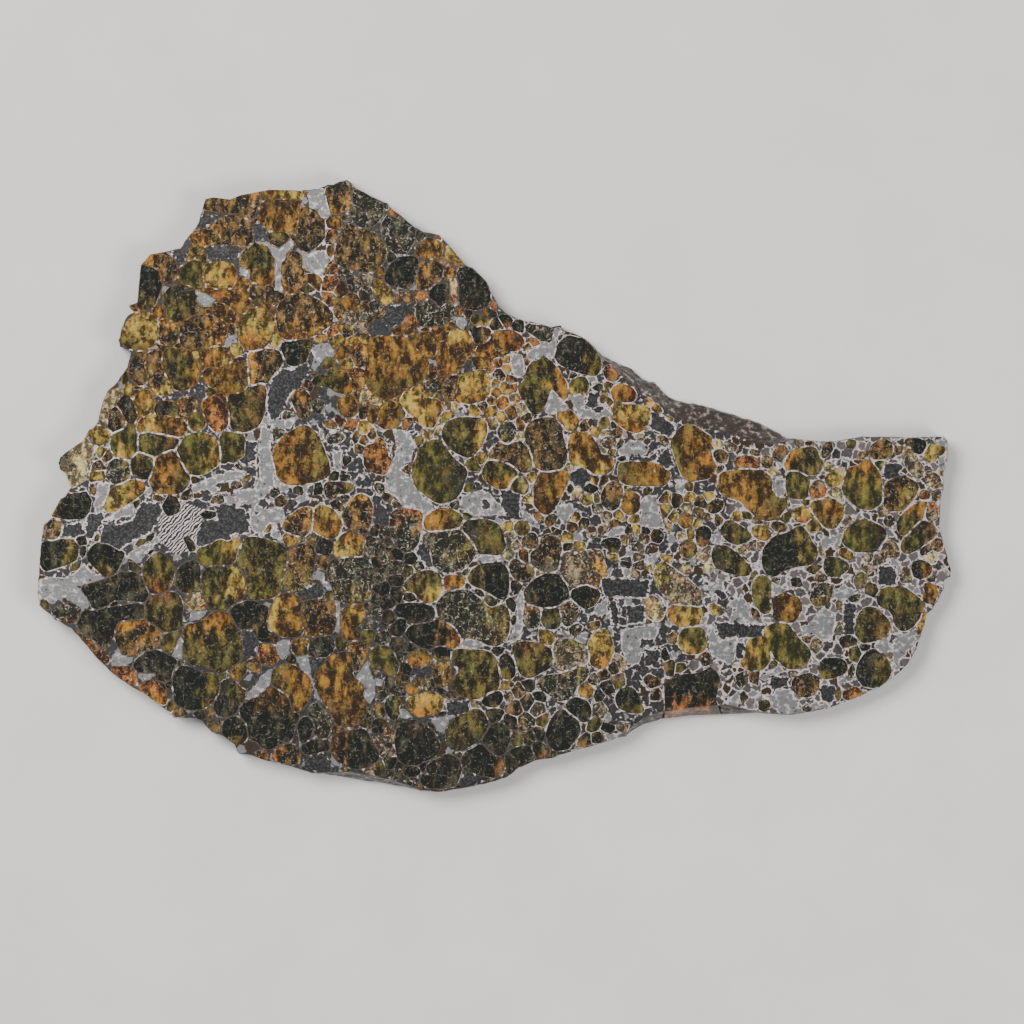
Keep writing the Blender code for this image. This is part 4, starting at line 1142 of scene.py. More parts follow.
@dataclass
class Mosaic:
    """The front of the slice laid out in the plane: its edge, crystals, grains and rubble.

    Attributes:
        photo: ties the listed outlines to the slice.
        thickness: thickness of the slice, in millimetres.
        wall: metal left between two grains.
        rubble_wall: metal left between two fragments.
        edge_wall: metal left between a grain and the slice's edge.
        growth: how far a crystal grows from its packed outline to meet its pocket.
        rubble_depth: how deep the fragments reach.
        seed: picks the places of the fragments.
    """

    photo: Photograph
    thickness: float
    wall: float = 0.30
    rubble_wall: float = 0.19
    edge_wall: float = 0.10
    growth: float = 0.27
    rubble_depth: float = 1.1
    seed: int = 7
    edge: Outline = field(default_factory=lambda: np.empty((0, 2)))
    crystals: list[Pane] = field(default_factory=list)
    edge_crystals: list[Pane] = field(default_factory=list)
    grains: list[Pane] = field(default_factory=list)
    rubble: list[Pane] = field(default_factory=list)

    def all_panes(self) -> list[Pane]:
        """Every pane laid out so far."""
        return self.crystals + self.edge_crystals + self.grains + self.rubble

    def take_crystals(self, nodes: dict[str, bpy.types.Object]) -> None:
        """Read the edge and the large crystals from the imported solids.

        Args:
            nodes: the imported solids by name.
        """
        top = self.thickness * METRES_PER_MM
        shape = merged_copy(nodes[METAL_NODE])
        self.edge = plane_outline(boundary_loops(level_faces(shape, top))[0])
        shape.free()
        edge_points = Landmarks([self.edge], 0.3)
        for number, (name, look) in enumerate(CRYSTAL_LOOKS.items()):
            shape = merged_copy(nodes[name])
            packed = plane_outline(boundary_loops(level_faces(shape, top))[0])
            shape.free()
            if edge_points.distances(sampled(packed, EDGE_CRYSTAL_GAP)).min() < EDGE_CRYSTAL_GAP:
                self.edge_crystals.append(Pane(packed, look, self.thickness, name))
                continue
            whole = smoothed(widened(sampled(packed, OUTLINE_SPACING), self.growth), 1)
            whole = roughened(whole, CRYSTAL_WAVE, WAVE_LENGTH, number)
            self.crystals.append(Pane(whole, look, self.thickness, name))

    def room(self, points: np.ndarray, skip: Pane | None = None) -> np.ndarray:
        """Distance from each point to the nearest pane or to the edge, less the metal that stays.

        Args:
            points: the points.
            skip: a pane that is not counted.

        Returns:
            The room at each point, negative where a neighbour is too near.
        """
        result = -signed_distance(self.edge, points, ROOM_REACH) - self.edge_wall
        low, high = points.min(axis=0) - ROOM_REACH, points.max(axis=0) + ROOM_REACH
        for pane in self.all_panes():
            if pane is not skip and (pane.low < high).all() and (pane.high > low).all():
                result = np.minimum(result, signed_distance(pane.outline, points, ROOM_REACH) - self.wall)
        return result

    def place_grains(self) -> None:
        """Lay out the listed smaller grains, drawn in where they would touch a neighbour."""
        for number, grain in enumerate(GRAINS):
            outline = sampled(self.photo.outline(grain.pixels), OUTLINE_SPACING)
            outline = smoothed(widened(outline, GRAIN_GROWTH), 1)
            outline = roughened(outline, GRAIN_WAVE, WAVE_LENGTH, number)
            middle = outline.mean(axis=0)
            shares = np.ones((len(outline), 1))
            for _ in range(GRAIN_FITTING_PASSES):
                placed = middle + (outline - middle) * shares
                tight = self.room(placed) < 0.0
                if not tight.any():
                    break
                shares[tight] *= FITTING_SHARE
            placed = middle + (outline - middle) * shares
            if signed_area(placed) > SMALLEST_FRAGMENT and self.room(placed).min() > -self.edge_wall:
                self.grains.append(Pane(placed, grain.look, self.thickness))
            else:
                LOG.info("grain %d has no room", number)

    def grow_together(self) -> None:
        """Let every grain grow a little into the free metal, as far as its neighbours allow."""
        fields = self.photo.outlines(LIGHT_FIELDS, SLATE_FIELDS)
        growing = self.crystals + self.grains
        for _ in range(GROWTH_PASSES):
            grown = []
            for pane in growing:
                wider = stepped(pane.outline, GROWTH_STEP)
                beyond = GROWTH_STEP + self.wall
                free = distance_to(pane.outline, stepped(pane.outline, beyond)) > beyond * PROBE_SHARE
                free &= self.room(wider, pane) > 0.0
                free &= nearest_field(fields, wider, FIELD_REACH) > FIELD_WALL
                if free.any():
                    share = np.convolve(np.concatenate((free[-1:], free, free[:1])), SOFTENING, "valid")
                    share[~free] = 0.0
                    pane.reshape(pane.outline + (wider - pane.outline) * share[:, None])
                    grown.append(pane)
            growing = grown

    def rubble_places(self, rng: random.Random) -> list[tuple[Point, RubbleZone]]:
        """Scatter the middles of the fragments over the free metal of each zone.

        Args:
            rng: draws the places.

        Returns:
            Each place with the zone that it lies in.
        """
        fields = self.photo.outlines(LIGHT_FIELDS, SLATE_FIELDS, (PLATED_FIELD,))
        taken = self.photo.outlines([zone.pixels for zone in RUBBLE_ZONES])
        places = []
        cells = {}
        for index, zone in enumerate(RUBBLE_ZONES):
            low, high = taken[index].min(axis=0), taken[index].max(axis=0)
            low, high = np.maximum(low, self.edge.min(axis=0)), np.minimum(high, self.edge.max(axis=0))
            tries = int(np.prod(high - low) / zone.pitch ** 2 * DARTS_PER_PLACE)
            darts = np.array([[rng.uniform(low[0], high[0]), rng.uniform(low[1], high[1])]
                              for _ in range(tries)])
            darts = darts[inside(taken[index], darts) & inside(self.edge, darts)]
            for earlier in taken[:index]:
                darts = darts[~inside(earlier, darts)]
            darts = darts[nearest_field(fields, darts, FIELD_REACH) > FIELD_MARGIN]
            if not len(darts):
                continue
            darts = darts[self.room(darts) > SMALLEST_ROOM]
            for x, y in darts:
                gap = zone.pitch * NEAREST_SHARE
                cell = (int(x // DART_CELL), int(y // DART_CELL))
                around = [spot for across in (-1, 0, 1) for up in (-1, 0, 1)
                          for spot in cells.get((cell[0] + across, cell[1] + up), ())]
                if all((x - a) ** 2 + (y - b) ** 2 > gap * gap for a, b in around):
                    cells.setdefault(cell, []).append((x, y))
                    places.append(((float(x), float(y)), zone))
        return places

    def fragment(self, place: Point, zone: RubbleZone, middles: Landmarks, walls: Landmarks) -> list[Point]:
        """The room that one fragment has between its neighbours.

        Args:
            place: its middle.
            zone: the patch that it lies in.
            middles: the middles of all the fragments.
            walls: points along everything else.

        Returns:
            The corners of its outline.
        """
        x, y = place
        radius = zone.pitch * FRAGMENT_REACH
        turns = [math.tau * corner / FRAGMENT_CORNERS for corner in range(FRAGMENT_CORNERS)]
        polygon = [(x + radius * math.cos(turn), y + radius * math.sin(turn)) for turn in turns]
        for other in middles.near(place, radius * 2):
            gap = math.dist(place, other)
            if gap > SAME_PLACE:
                polygon = clipped(polygon, place, other, 0.5 - self.rubble_wall / 2 / gap)
        for other in walls.near(place, radius + self.rubble_wall):
            share = max(1.0 - self.rubble_wall / math.dist(place, other), SMALLEST_SHARE)
            polygon = clipped(polygon, place, other, share)
        return polygon

    def place_rubble(self) -> None:
        """Fill the free metal with fragments, each as wide as its neighbours allow."""
        rng = random.Random(self.seed)
        places = self.rubble_places(rng)
        fields = self.photo.outlines(LIGHT_FIELDS, SLATE_FIELDS)
        walls = Landmarks([pane.outline for pane in self.all_panes()] + [self.edge] + fields, WALL_SPACING)
        for last in (False, True):
            middles = Landmarks([np.array([place]) for place, _ in places], 1.0)
            polygons = [self.fragment(place, zone, middles, walls) for place, zone in places]
            if not last:
                places = [(tuple(np.mean(polygon, axis=0)), zone) if len(polygon) > 2 else (place, zone)
                          for polygon, (place, zone) in zip(polygons, places)]
        for polygon, (_, zone) in zip(polygons, places):
            look = Look(rng.choice(zone.tones), rng.choice(zone.tones), rng.choice(list(Side)))
            if rng.random() > zone.filled or len(polygon) < 4:
                continue
            outline = corners_cut(anticlockwise(np.array(polygon)), CORNER_CUT)
            if signed_area(outline) > SMALLEST_FRAGMENT:
                self.rubble.append(Pane(outline, look, self.rubble_depth))


def link(name: str, data: bpy.types.ID) -> bpy.types.Object:
    """A new object of a mesh, a light or a camera in the scene, at the origin."""
    piece = bpy.data.objects.new(name, data)
    bpy.context.scene.collection.objects.link(piece)
    return piece


def set_attribute(mesh: bpy.types.Mesh, name: str, values: np.ndarray) -> None:
    """Store one number, or one RGBA colour, for each vertex of a mesh."""
    kind, key = ("FLOAT", "value") if values.ndim == 1 else ("FLOAT_COLOR", "color")
    attribute = mesh.attributes.new(name, kind, "POINT")
    attribute.data.foreach_set(key, np.asarray(values, np.float32).ravel())


def placed_at(points: np.ndarray, height: float) -> np.ndarray:
    """Points in the plane, put at a height."""
    return np.column_stack((points, np.full(len(points), height)))


Part = tuple[np.ndarray, list[list[int]]]


@dataclass
class MetalNetwork:
    """The iron-nickel network: the whole slice less a pocket for every crystal, grain and fragment.

    Attributes:
        mosaic: the front as laid out.
        point_spacing: distance between points on the front, in millimetres.
        back_spacing: the same on the back.
        relief: how far the etched metal lies below the harder olivine.
        swell: height of the soft waves in the etched metal.
        clearance: gap between the metal and an olivine grain.
        back_taper: share by which a pocket closes in at the back.
        rim_cuts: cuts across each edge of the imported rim, which make room for its roughness.
        rim_depth: how deep the weathered rim is pitted.
        rim_wall: metal that the pits leave outside a crystal.
    """

    mosaic: Mosaic
    point_spacing: float = 0.38
    back_spacing: float = 1.3
    relief: float = 0.03
    swell: float = 0.012
    clearance: float = 0.02
    back_taper: float = 0.06
    rim_cuts: int = 3
    rim_depth: float = 0.22
    rim_wall: float = 0.06

    @property
    def face_height(self) -> float:
        """Height of the etched front above the back face, in millimetres."""
        return self.mosaic.thickness - self.relief

    def pocket_ring(self, pane: Pane, height: float) -> Outline:
        """A pocket's outline at a height above the back face, in millimetres."""
        share = 1.0 - self.back_taper * (1.0 - height / self.mosaic.thickness)
        return pane.middle + (stepped(pane.outline, self.clearance) - pane.middle) * share

    def rim_shell(self, node: bpy.types.Object) -> bmesh.types.BMesh:
        """The slice's outer edge, cut finer and pitted, with neither face.

        Args:
            node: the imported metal.

        Returns:
            The edge alone, open at the front and the back.
        """
        top = self.mosaic.thickness * METRES_PER_MM
        shape = merged_copy(node)
        flats = set(level_faces(shape, top)) | set(level_faces(shape, 0.0))
        start = boundary_loops([face for face in flats if face.normal.z > 0.0])[0][0]
        reached = {face for face in start.link_faces if face not in flats}
        front = list(reached)
        while front:
            for edge in front.pop().edges:
                for face in edge.link_faces:
                    if face not in reached and face not in flats:
                        reached.add(face)
                        front.append(face)
        bmesh.ops.delete(shape, geom=[face for face in shape.faces if face not in reached], context="FACES")
        bmesh.ops.subdivide_edges(shape, edges=shape.edges, cuts=self.rim_cuts, use_grid_fill=True)
        self.pit(shape)
        return shape

    def pit(self, shape: bmesh.types.BMesh) -> None:
        """Roughen the rim, and close its bays up to the crystals that lie in them.

        Args:
            shape: the rim, which is changed.
        """
        shape.normal_update()
        vertices = list(shape.verts)
        places = np.array([vertex.co.xy[:] for vertex in vertices]) / METRES_PER_MM
        beside = [pane.outline for pane in self.mosaic.edge_crystals]
        gaps = nearest_field(beside, places, LAYER_REACH)
        rooms = self.rim_rooms(shape, places)
        landmarks = Landmarks(beside, BAY_SPACING)
        for vertex, place, gap, room in zip(vertices, places, gaps, rooms):
            if gap < BAY_REACH:
                nearest = np.array(landmarks.tree.find((*place, 0.0))[0].xy)
                away = (place - nearest) / max(float(np.linalg.norm(place - nearest)), 1e-6)
                vertex.co.xy = Vector(nearest + away * self.clearance) * METRES_PER_MM
                continue
            lump = noise.fractal(vertex.co * RIM_LUMP_SCALE, 1.0, 2.0, RIM_LUMP_LAYERS)
            level = Vector((vertex.normal.x, vertex.normal.y, 0.0))
            if level.length > 0.0:
                pit = min(max(RIM_LUMP_LEVEL - lump, 0.0) * self.rim_depth, room)
                vertex.co -= level.normalized() * pit * METRES_PER_MM
        for vertex in vertices:
            vertex.co.z = min(max(vertex.co.z, 0.0), self.face_height * METRES_PER_MM)

    def rim_rooms(self, shape: bmesh.types.BMesh, places: np.ndarray) -> np.ndarray:
        """How far each vertex of the rim may go in before it, or an edge from it, meets a pocket.

        Args:
            shape: the rim.
            places: its vertices seen from above, in millimetres.

        Returns:
            The room of each vertex, in millimetres.
        """
        panes = [pane.outline for pane in self.mosaic.all_panes()]
        shape.verts.index_update()
        ends = np.array([[vertex.index for vertex in edge.verts] for edge in shape.edges])
        room = nearest_field(panes, places, FIELD_REACH)
        for share in RIM_PROBES:
            along = places[ends[:, 0]] * share + places[ends[:, 1]] * (1.0 - share)
            np.minimum.at(room, ends.ravel(), np.repeat(nearest_field(panes, along, FIELD_REACH), 2))
        return np.maximum(room - self.rim_wall, 0.0)

    def free_points(self, edge: Outline, holes: list[Outline], spacing: float) -> np.ndarray:
        """Points over the open metal, in a jittered grid, clear of every outline.

        Args:
            edge: the outer outline.
            holes: the pockets' outlines.
            spacing: distance between two points.

        Returns:
            The points, one in each row.
        """
        rng = np.random.default_rng(self.mosaic.seed)
        low, high = edge.min(axis=0), edge.max(axis=0)
        grid = np.stack(np.meshgrid(np.arange(low[0], high[0], spacing),
                                    np.arange(low[1], high[1], spacing * ROW_SHARE)), axis=-1)
        grid[1::2, :, 0] += spacing / 2
        points = grid.reshape(-1, 2) + rng.uniform(-JITTER, JITTER, (grid.size // 2, 2)) * spacing
        points = points[inside(edge, points)]
        keep = np.ones(len(points), bool)
        for outline in holes:
            boxed = (points > outline.min(axis=0)) & (points < outline.max(axis=0))
            near = np.flatnonzero(np.all(boxed, axis=1))
            keep[near[inside(outline, points[near])]] = False
        points = points[keep]
        return points[Landmarks(holes + [edge], spacing / 2).distances(points) > spacing * CLEAR_SHARE]

    def face(self, rim: Outline, panes: list[Pane], front: bool) -> Part:
        """The metal's front or back: triangles between the rim and the pockets.

        Args:
            rim: the face's outer outline.
            panes: what its pockets hold.
            front: whether it is the front.

        Returns:
            The points, and the triangles as rows of three point numbers.
        """
        loops = [rim] + [self.pocket_ring(pane, self.mosaic.thickness if front else 0.0) for pane in panes]
        starts = np.cumsum([0] + [len(loop) for loop in loops])
        spacing = self.point_spacing if front else self.back_spacing
        points = np.concatenate(loops + [self.free_points(rim, loops[1:], spacing)])
        rings = [list(range(first, last)) for first, last in zip(starts[:-1], starts[1:])]
        found = geometry.delaunay_2d_cdt([Vector(point) for point in points], [], rings, 0,
                                         CROSSING_TOLERANCE)
        triangles = [triangle if front else triangle[::-1]
                     for triangle, owners in zip(found[2], found[5]) if owners == [0]]
        corners = np.array([corner[:] for corner in found[0]])
        return placed_at(corners, self.face_height if front else 0.0), triangles

    def build(self, node: bpy.types.Object) -> bpy.types.Object:
        """The finished network as one mesh.

        Args:
            node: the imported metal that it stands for.

        Returns:
            The object, with its pattern stored on its vertices.
        """
        mosaic = self.mosaic
        shape = self.rim_shell(node)
        rims = []
        for height in (self.face_height, 0.0):
            edges = [edge for edge in shape.edges if edge.is_boundary
                     and all(abs(v.co.z / METRES_PER_MM - height) < LEVEL_TOLERANCE for v in edge.verts)]
            rims.append(plane_outline(chain(edges)))
        through = mosaic.crystals + mosaic.grains
        parts = [self.face(rims[0], through + mosaic.rubble, True), self.face(rims[1], through, False)]
        parts += [self.pocket(pane, 0.0) for pane in through]
        parts += [self.pocket(pane, mosaic.thickness - pane.depth) for pane in mosaic.rubble]
        mesh = bpy.data.meshes.new("metal_network")
        self.gather(shape, parts, mesh)
        self.paint(mesh, rims)
        return link("metal_network", mesh)

    def pocket(self, pane: Pane, bottom: float) -> Part:
        """The walls of a pocket, with a floor unless it goes right through.

        Args:
            pane: what the pocket holds.
            bottom: height of its lower end above the back, in millimetres.

        Returns:
            Its points and its faces.
        """
        high = self.pocket_ring(pane, self.mosaic.thickness)
        low = self.pocket_ring(pane, bottom)
        count = len(high)
        follow = [(index + 1) % count for index in range(count)]
        faces = [[index, follow[index], follow[index] + count, index + count] for index in range(count)]
        if bottom > 0.0:
            faces.append(list(range(count, 2 * count)))
        return np.concatenate((placed_at(high, self.face_height), placed_at(low, bottom))), faces

    def gather(self, shape: bmesh.types.BMesh, parts: list[Part], mesh: bpy.types.Mesh) -> None:
        """Join the rim with the faces and pockets into one mesh.

        Args:
            shape: the rim, which is used up.
            parts: the faces and pockets.
            mesh: takes the result.
        """
        for places, faces in parts:
            vertices = [shape.verts.new(place) for place in places * METRES_PER_MM]
            for face in faces:
                shape.faces.new([vertices[index] for index in face])
        bmesh.ops.remove_doubles(shape, verts=shape.verts, dist=JOIN_DISTANCE)
        bmesh.ops.delete(shape, geom=[vertex for vertex in shape.verts if not vertex.link_faces],
                         context="VERTS")
        open_edges = sum(edge.is_boundary or not edge.is_manifold for edge in shape.edges)
        LOG.info("metal network: %d open edges", open_edges)
        write_mesh(shape, mesh)

    def paint(self, mesh: bpy.types.Mesh, rims: list[Outline]) -> None:
        """Store the pattern of the etched metal on the vertices of the front and the back.

        Each gets its distance to the nearest grain, to the natural edge, and to the fields and zones of
        every layer. All are in millimetres, and negative within a field.

        Args:
            mesh: the network's mesh.
            rims: its outer outline at the front and at the back.
        """
        mosaic = self.mosaic
        places = vertex_places(mesh)
        values = {name: np.zeros(len(places)) for name in ("grain_gap", "edge_gap")}
        values |= {name: np.full(len(places), LAYER_REACH) for name in METAL_LAYERS}
        beside = [pane.outline for pane in mosaic.edge_crystals]
        through = mosaic.crystals + mosaic.grains
        for rim, height, ring_height, panes in (
                (rims[0], self.face_height, mosaic.thickness, through + mosaic.rubble),
                (rims[1], 0.0, 0.0, through)):
            chosen = np.flatnonzero(np.abs(places[:, 2] - height) < LEVEL_TOLERANCE)
            points = places[chosen, :2]
            rings = [self.pocket_ring(pane, ring_height) for pane in panes]
            values["grain_gap"][chosen] = Landmarks(rings + beside, LANDMARK_SPACING).distances(points)
            bare = rim[nearest_field(beside, rim, LAYER_REACH) > BAY_REACH]
            values["edge_gap"][chosen] = Landmarks(np.split(bare, len(bare)), 1.0).distances(points)
            for name, fields in METAL_LAYERS.items():
                values[name][chosen] = nearest_field(mosaic.photo.outlines(fields), points, LAYER_REACH)
        for name, numbers in values.items():
            set_attribute(mesh, name, numbers)
        self.swell_front(mesh, places)

    def swell_front(self, mesh: bpy.types.Mesh, places: np.ndarray) -> None:
        """Give the etched front its soft waves, which never rise above the olivine."""
        for index in np.flatnonzero(np.abs(places[:, 2] - self.face_height) < LEVEL_TOLERANCE):
            vertex = mesh.vertices[index]
            wave = noise.noise(Vector((*places[index, :2], 0.0)) * SWELL_SCALE)
            vertex.co.z += wave * self.swell * METRES_PER_MM


def chain(edges: list[bmesh.types.BMEdge]) -> list[bmesh.types.BMVert]:
    """The vertices of a closed run of edges, in order.

    Args:
        edges: the edges, in any order.

    Returns:
        The vertices from one edge to the next.
    """
    links = {}
    for edge in edges:
        for vertex in edge.verts:
            links.setdefault(vertex, []).append(edge.other_vert(vertex))
    start = next(iter(links))
    loop = [start]
    before, vertex = start, links[start][0]
    while vertex is not start:
        loop.append(vertex)
        onward = [other for other in links[vertex] if other is not before]
        before, vertex = vertex, onward[0]
    return loop


@dataclass(frozen=True)
class OlivineTexture:
    """The patterns that every tone of olivine shares. Scales are per metre.

    Attributes:
        shift: how far apart two crystals read a pattern, in metres for each step of their numbers.
        bend_scale, bend_reach: how finely the facets are bent, and how far in metres.
        streak: how much finer the clouds are across their lie and along it.
        cloud_swing, facet_swing, glint_swing: how strongly each pattern lightens a place.
        lit: from where to where a place goes from deep to light.
        painted_glow_side, lean_cloud, lean_facet: how strongly the lit side, as painted glow, and the
        patterns place the second tone.
        leaning: from where to where that tone comes in.
        glow_shade: the second tone's deep colour beside its light one.
        warm, cool: the tints between which the facets vary.
        crack_width, crack_glint: how near the edge of a cell a crack shows, and at which glints.
        painted_glint_span, painted_glint_strength, painted_glint_colour: at which glints a painted highlight
        shows, how strongly, and its colour.
        sheen_glint, sheen_shares: how the roughness varies with the glints.
        bumps: how strongly the glints tilt the surface.
        ior: index of refraction.
        mirror: how strongly the polish reflects.
    """

    shift: float = 0.05
    bend_scale: float = 1000.0
    bend_reach: float = 0.0008
    streak: Colour = (1.50, 0.70, 1.0)
    cloud_scale: float = 480.0
    facet_scale: float = 1050.0
    glint_scale: float = 2300.0
    crack_scale: float = 520.0
    cloud_swing: float = 1.6
    facet_swing: float = 0.45
    glint_swing: float = 0.85
    lit: Span = (-0.12, 0.42)
    painted_glow_side: float = 0.8
    lean_cloud: float = 2.2
    lean_facet: float = 0.9
    leaning: Span = (0.05, 0.70)
    glow_shade: Colour = (0.14, 0.10, 0.09)
    warm: Colour = (1.15, 0.93, 0.78)
    cool: Colour = (0.88, 1.06, 0.85)
    crack_width: Span = (0.008, 0.04)
    crack_glint: Span = (0.45, 0.60)
    crack_colour: Colour = (0.42, 0.38, 0.32)
    # Painted highlights: pale specks that stand in for light caught by fractures.
    painted_glint_span: Span = (0.63, 0.72)
    painted_glint_strength: float = 0.75
    painted_glint_colour: Colour = (0.85, 0.78, 0.60)
    sheen_glint: Span = (0.3, 0.8)
    sheen_shares: Span = (0.7, 1.6)
    bumps: float = 0.15
    ior: float = 1.67
    mirror: float = 0.3


@dataclass(frozen=True)
class OlivineFinish:
    """How one tone of olivine looks.

    Attributes:
        deep: its colour where it is thick and dark.
        light: its colour where light comes through.
        clarity: share of the light that passes, from 0 to 1.
        brightness: lean towards the light colour, from -1 to 1.
        broken: how far fine facets break it up, from 0 to 1.
        cracked: how strongly pale cracks show.
        absorption: colour of the light that its body lets through.
        density: how soon its body swallows light, per metre.
        sheen: roughness of its polish.
        texture: the patterns that it shares with the other tones.
    """

    deep: Colour
    light: Colour
    clarity: float
    brightness: float
    broken: float
    cracked: float
    absorption: Colour
    density: float
    sheen: float
    texture: OlivineTexture = OlivineTexture()

    def material(self, tone: Tone) -> bpy.types.Material:
        """The finish as a material that reads each crystal's second colour and number.

        Args:
            tone: the tone that names it.

        Returns:
            The material.
        """
        material, wiring, shader = new_material("olivine_" + tone.value)
        look = self.texture
        own = wiring.attribute("own_number")
        place = wiring.shifted(wiring.object_place(), own, look.shift)
        bent = wiring.stirred(place, look.bend_scale, look.bend_reach)
        lie = wiring.node("ShaderNodeCombineXYZ", {"Z": wiring.math("SUBTRACT", own, 0.5)}).outputs[0]
        cloud = wiring.cloud(wiring.turned(place, lie, look.streak), look.cloud_scale, 3.0)
        facet = wiring.cells(bent, look.facet_scale)
        glint = wiring.cloud(bent, look.glint_scale, 1.0)
        tide = wiring.plus(wiring.swing(cloud, look.cloud_swing),
                           wiring.swing(facet[0], look.facet_swing * self.broken),
                           wiring.swing(glint, look.glint_swing * self.broken))
        lit = wiring.step(tide, (look.lit[0] - self.brightness, look.lit[1] - self.brightness))
        # The second tone is painted glow: it leans towards the side that catches more light, broken up by
        # clouds and facets.
        glow_light = wiring.attribute("glow_colour", "Color")
        glow_deep = wiring.blend(1.0, glow_light, look.glow_shade, "MULTIPLY")
        lean = wiring.plus(wiring.times(wiring.attribute("painted_glow_lean"), look.painted_glow_side),
                           wiring.swing(cloud, look.lean_cloud),
                           wiring.swing(facet[1], look.lean_facet * self.broken))
        colour = wiring.blend(wiring.step(lean, look.leaning), wiring.blend(lit, self.deep, self.light),
                              wiring.blend(lit, glow_deep, glow_light))
        colour = wiring.blend(1.0, colour, wiring.blend(facet[2], look.warm, look.cool), "MULTIPLY")
        crack = wiring.times(wiring.fall(wiring.cell_edge(bent, look.crack_scale), look.crack_width),
                             wiring.step(glint, look.crack_glint))
        crack = wiring.times(crack, self.cracked)
        colour = wiring.blend(crack, colour, look.crack_colour)
        # Painted highlights: pale specks in the colour where internal fractures would catch the light.
        painted_glint_mask = wiring.times(wiring.step(glint, look.painted_glint_span), look.painted_glint_strength * self.broken)
        colour = wiring.blend(painted_glint_mask, colour, wiring.blend(0.5, colour, look.painted_glint_colour))
        rough = [self.sheen * share for share in look.sheen_shares]
        wiring.feed(shader, {"Base Color": colour, "IOR": look.ior, "Specular IOR Level": look.mirror,
                             "Transmission Weight": wiring.math("SUBTRACT", self.clarity, crack, clamp=True),
                             "Roughness": wiring.step(glint, look.sheen_glint, *rough),
                             "Normal": wiring.bump(glint, look.bumps)})
        body = wiring.node("ShaderNodeVolumeAbsorption", {"Color": (*self.absorption, 1.0),
                                                          "Density": self.density})
        wiring.feed(material.node_tree.nodes["Material Output"], {"Volume": body.outputs[0]})
        return material


OLIVINES = {
    Tone.DARK: OlivineFinish((0.008, 0.010, 0.007), (0.080, 0.074, 0.048), 0.35, -0.03, 0.28, 0.25,
                             (0.60, 0.62, 0.40), 500.0, 0.14),
    Tone.OLIVE: OlivineFinish((0.018, 0.017, 0.007), (0.250, 0.205, 0.060), 0.45, 0.06, 0.4, 0.20,
                              (0.72, 0.72, 0.25), 350.0, 0.12),
    Tone.GREEN: OlivineFinish((0.028, 0.028, 0.008), (0.310, 0.260, 0.062), 0.45, 0.05, 0.3, 0.15,
                              (0.80, 0.82, 0.25), 250.0, 0.12),
    Tone.GOLD: OlivineFinish((0.070, 0.044, 0.012), (0.860, 0.600, 0.140), 0.45, 0.09, 0.5, 0.20,
                             (0.92, 0.75, 0.20), 220.0, 0.12),
    Tone.AMBER: OlivineFinish((0.040, 0.021, 0.007), (0.640, 0.320, 0.058), 0.45, 0.05, 0.4, 0.20,
                              (0.90, 0.55, 0.12), 260.0, 0.14),
    Tone.BROWN: OlivineFinish((0.017, 0.012, 0.007), (0.310, 0.180, 0.066), 0.35, 0.04, 0.55, 0.35,
                              (0.65, 0.45, 0.25), 420.0, 0.18),
    Tone.RED: OlivineFinish((0.040, 0.016, 0.008), (0.560, 0.215, 0.066), 0.35, 0.05, 0.7, 0.25,
                            (0.85, 0.35, 0.15), 320.0, 0.18),
    Tone.CREAM: OlivineFinish((0.080, 0.060, 0.028), (0.700, 0.570, 0.310), 0.12, 0.05, 0.8, 0.3,
                              (0.90, 0.80, 0.60), 250.0, 0.30),
    Tone.SMOKY: OlivineFinish((0.015, 0.015, 0.011), (0.145, 0.128, 0.090), 0.25, 0.0, 0.6, 0.8,
                              (0.60, 0.58, 0.50), 420.0, 0.22),
    Tone.TAN: OlivineFinish((0.038, 0.027, 0.018), (0.320, 0.240, 0.160), 0.15, 0.0, 1.0, 0.5,
                            (0.75, 0.62, 0.48), 320.0, 0.30),
}


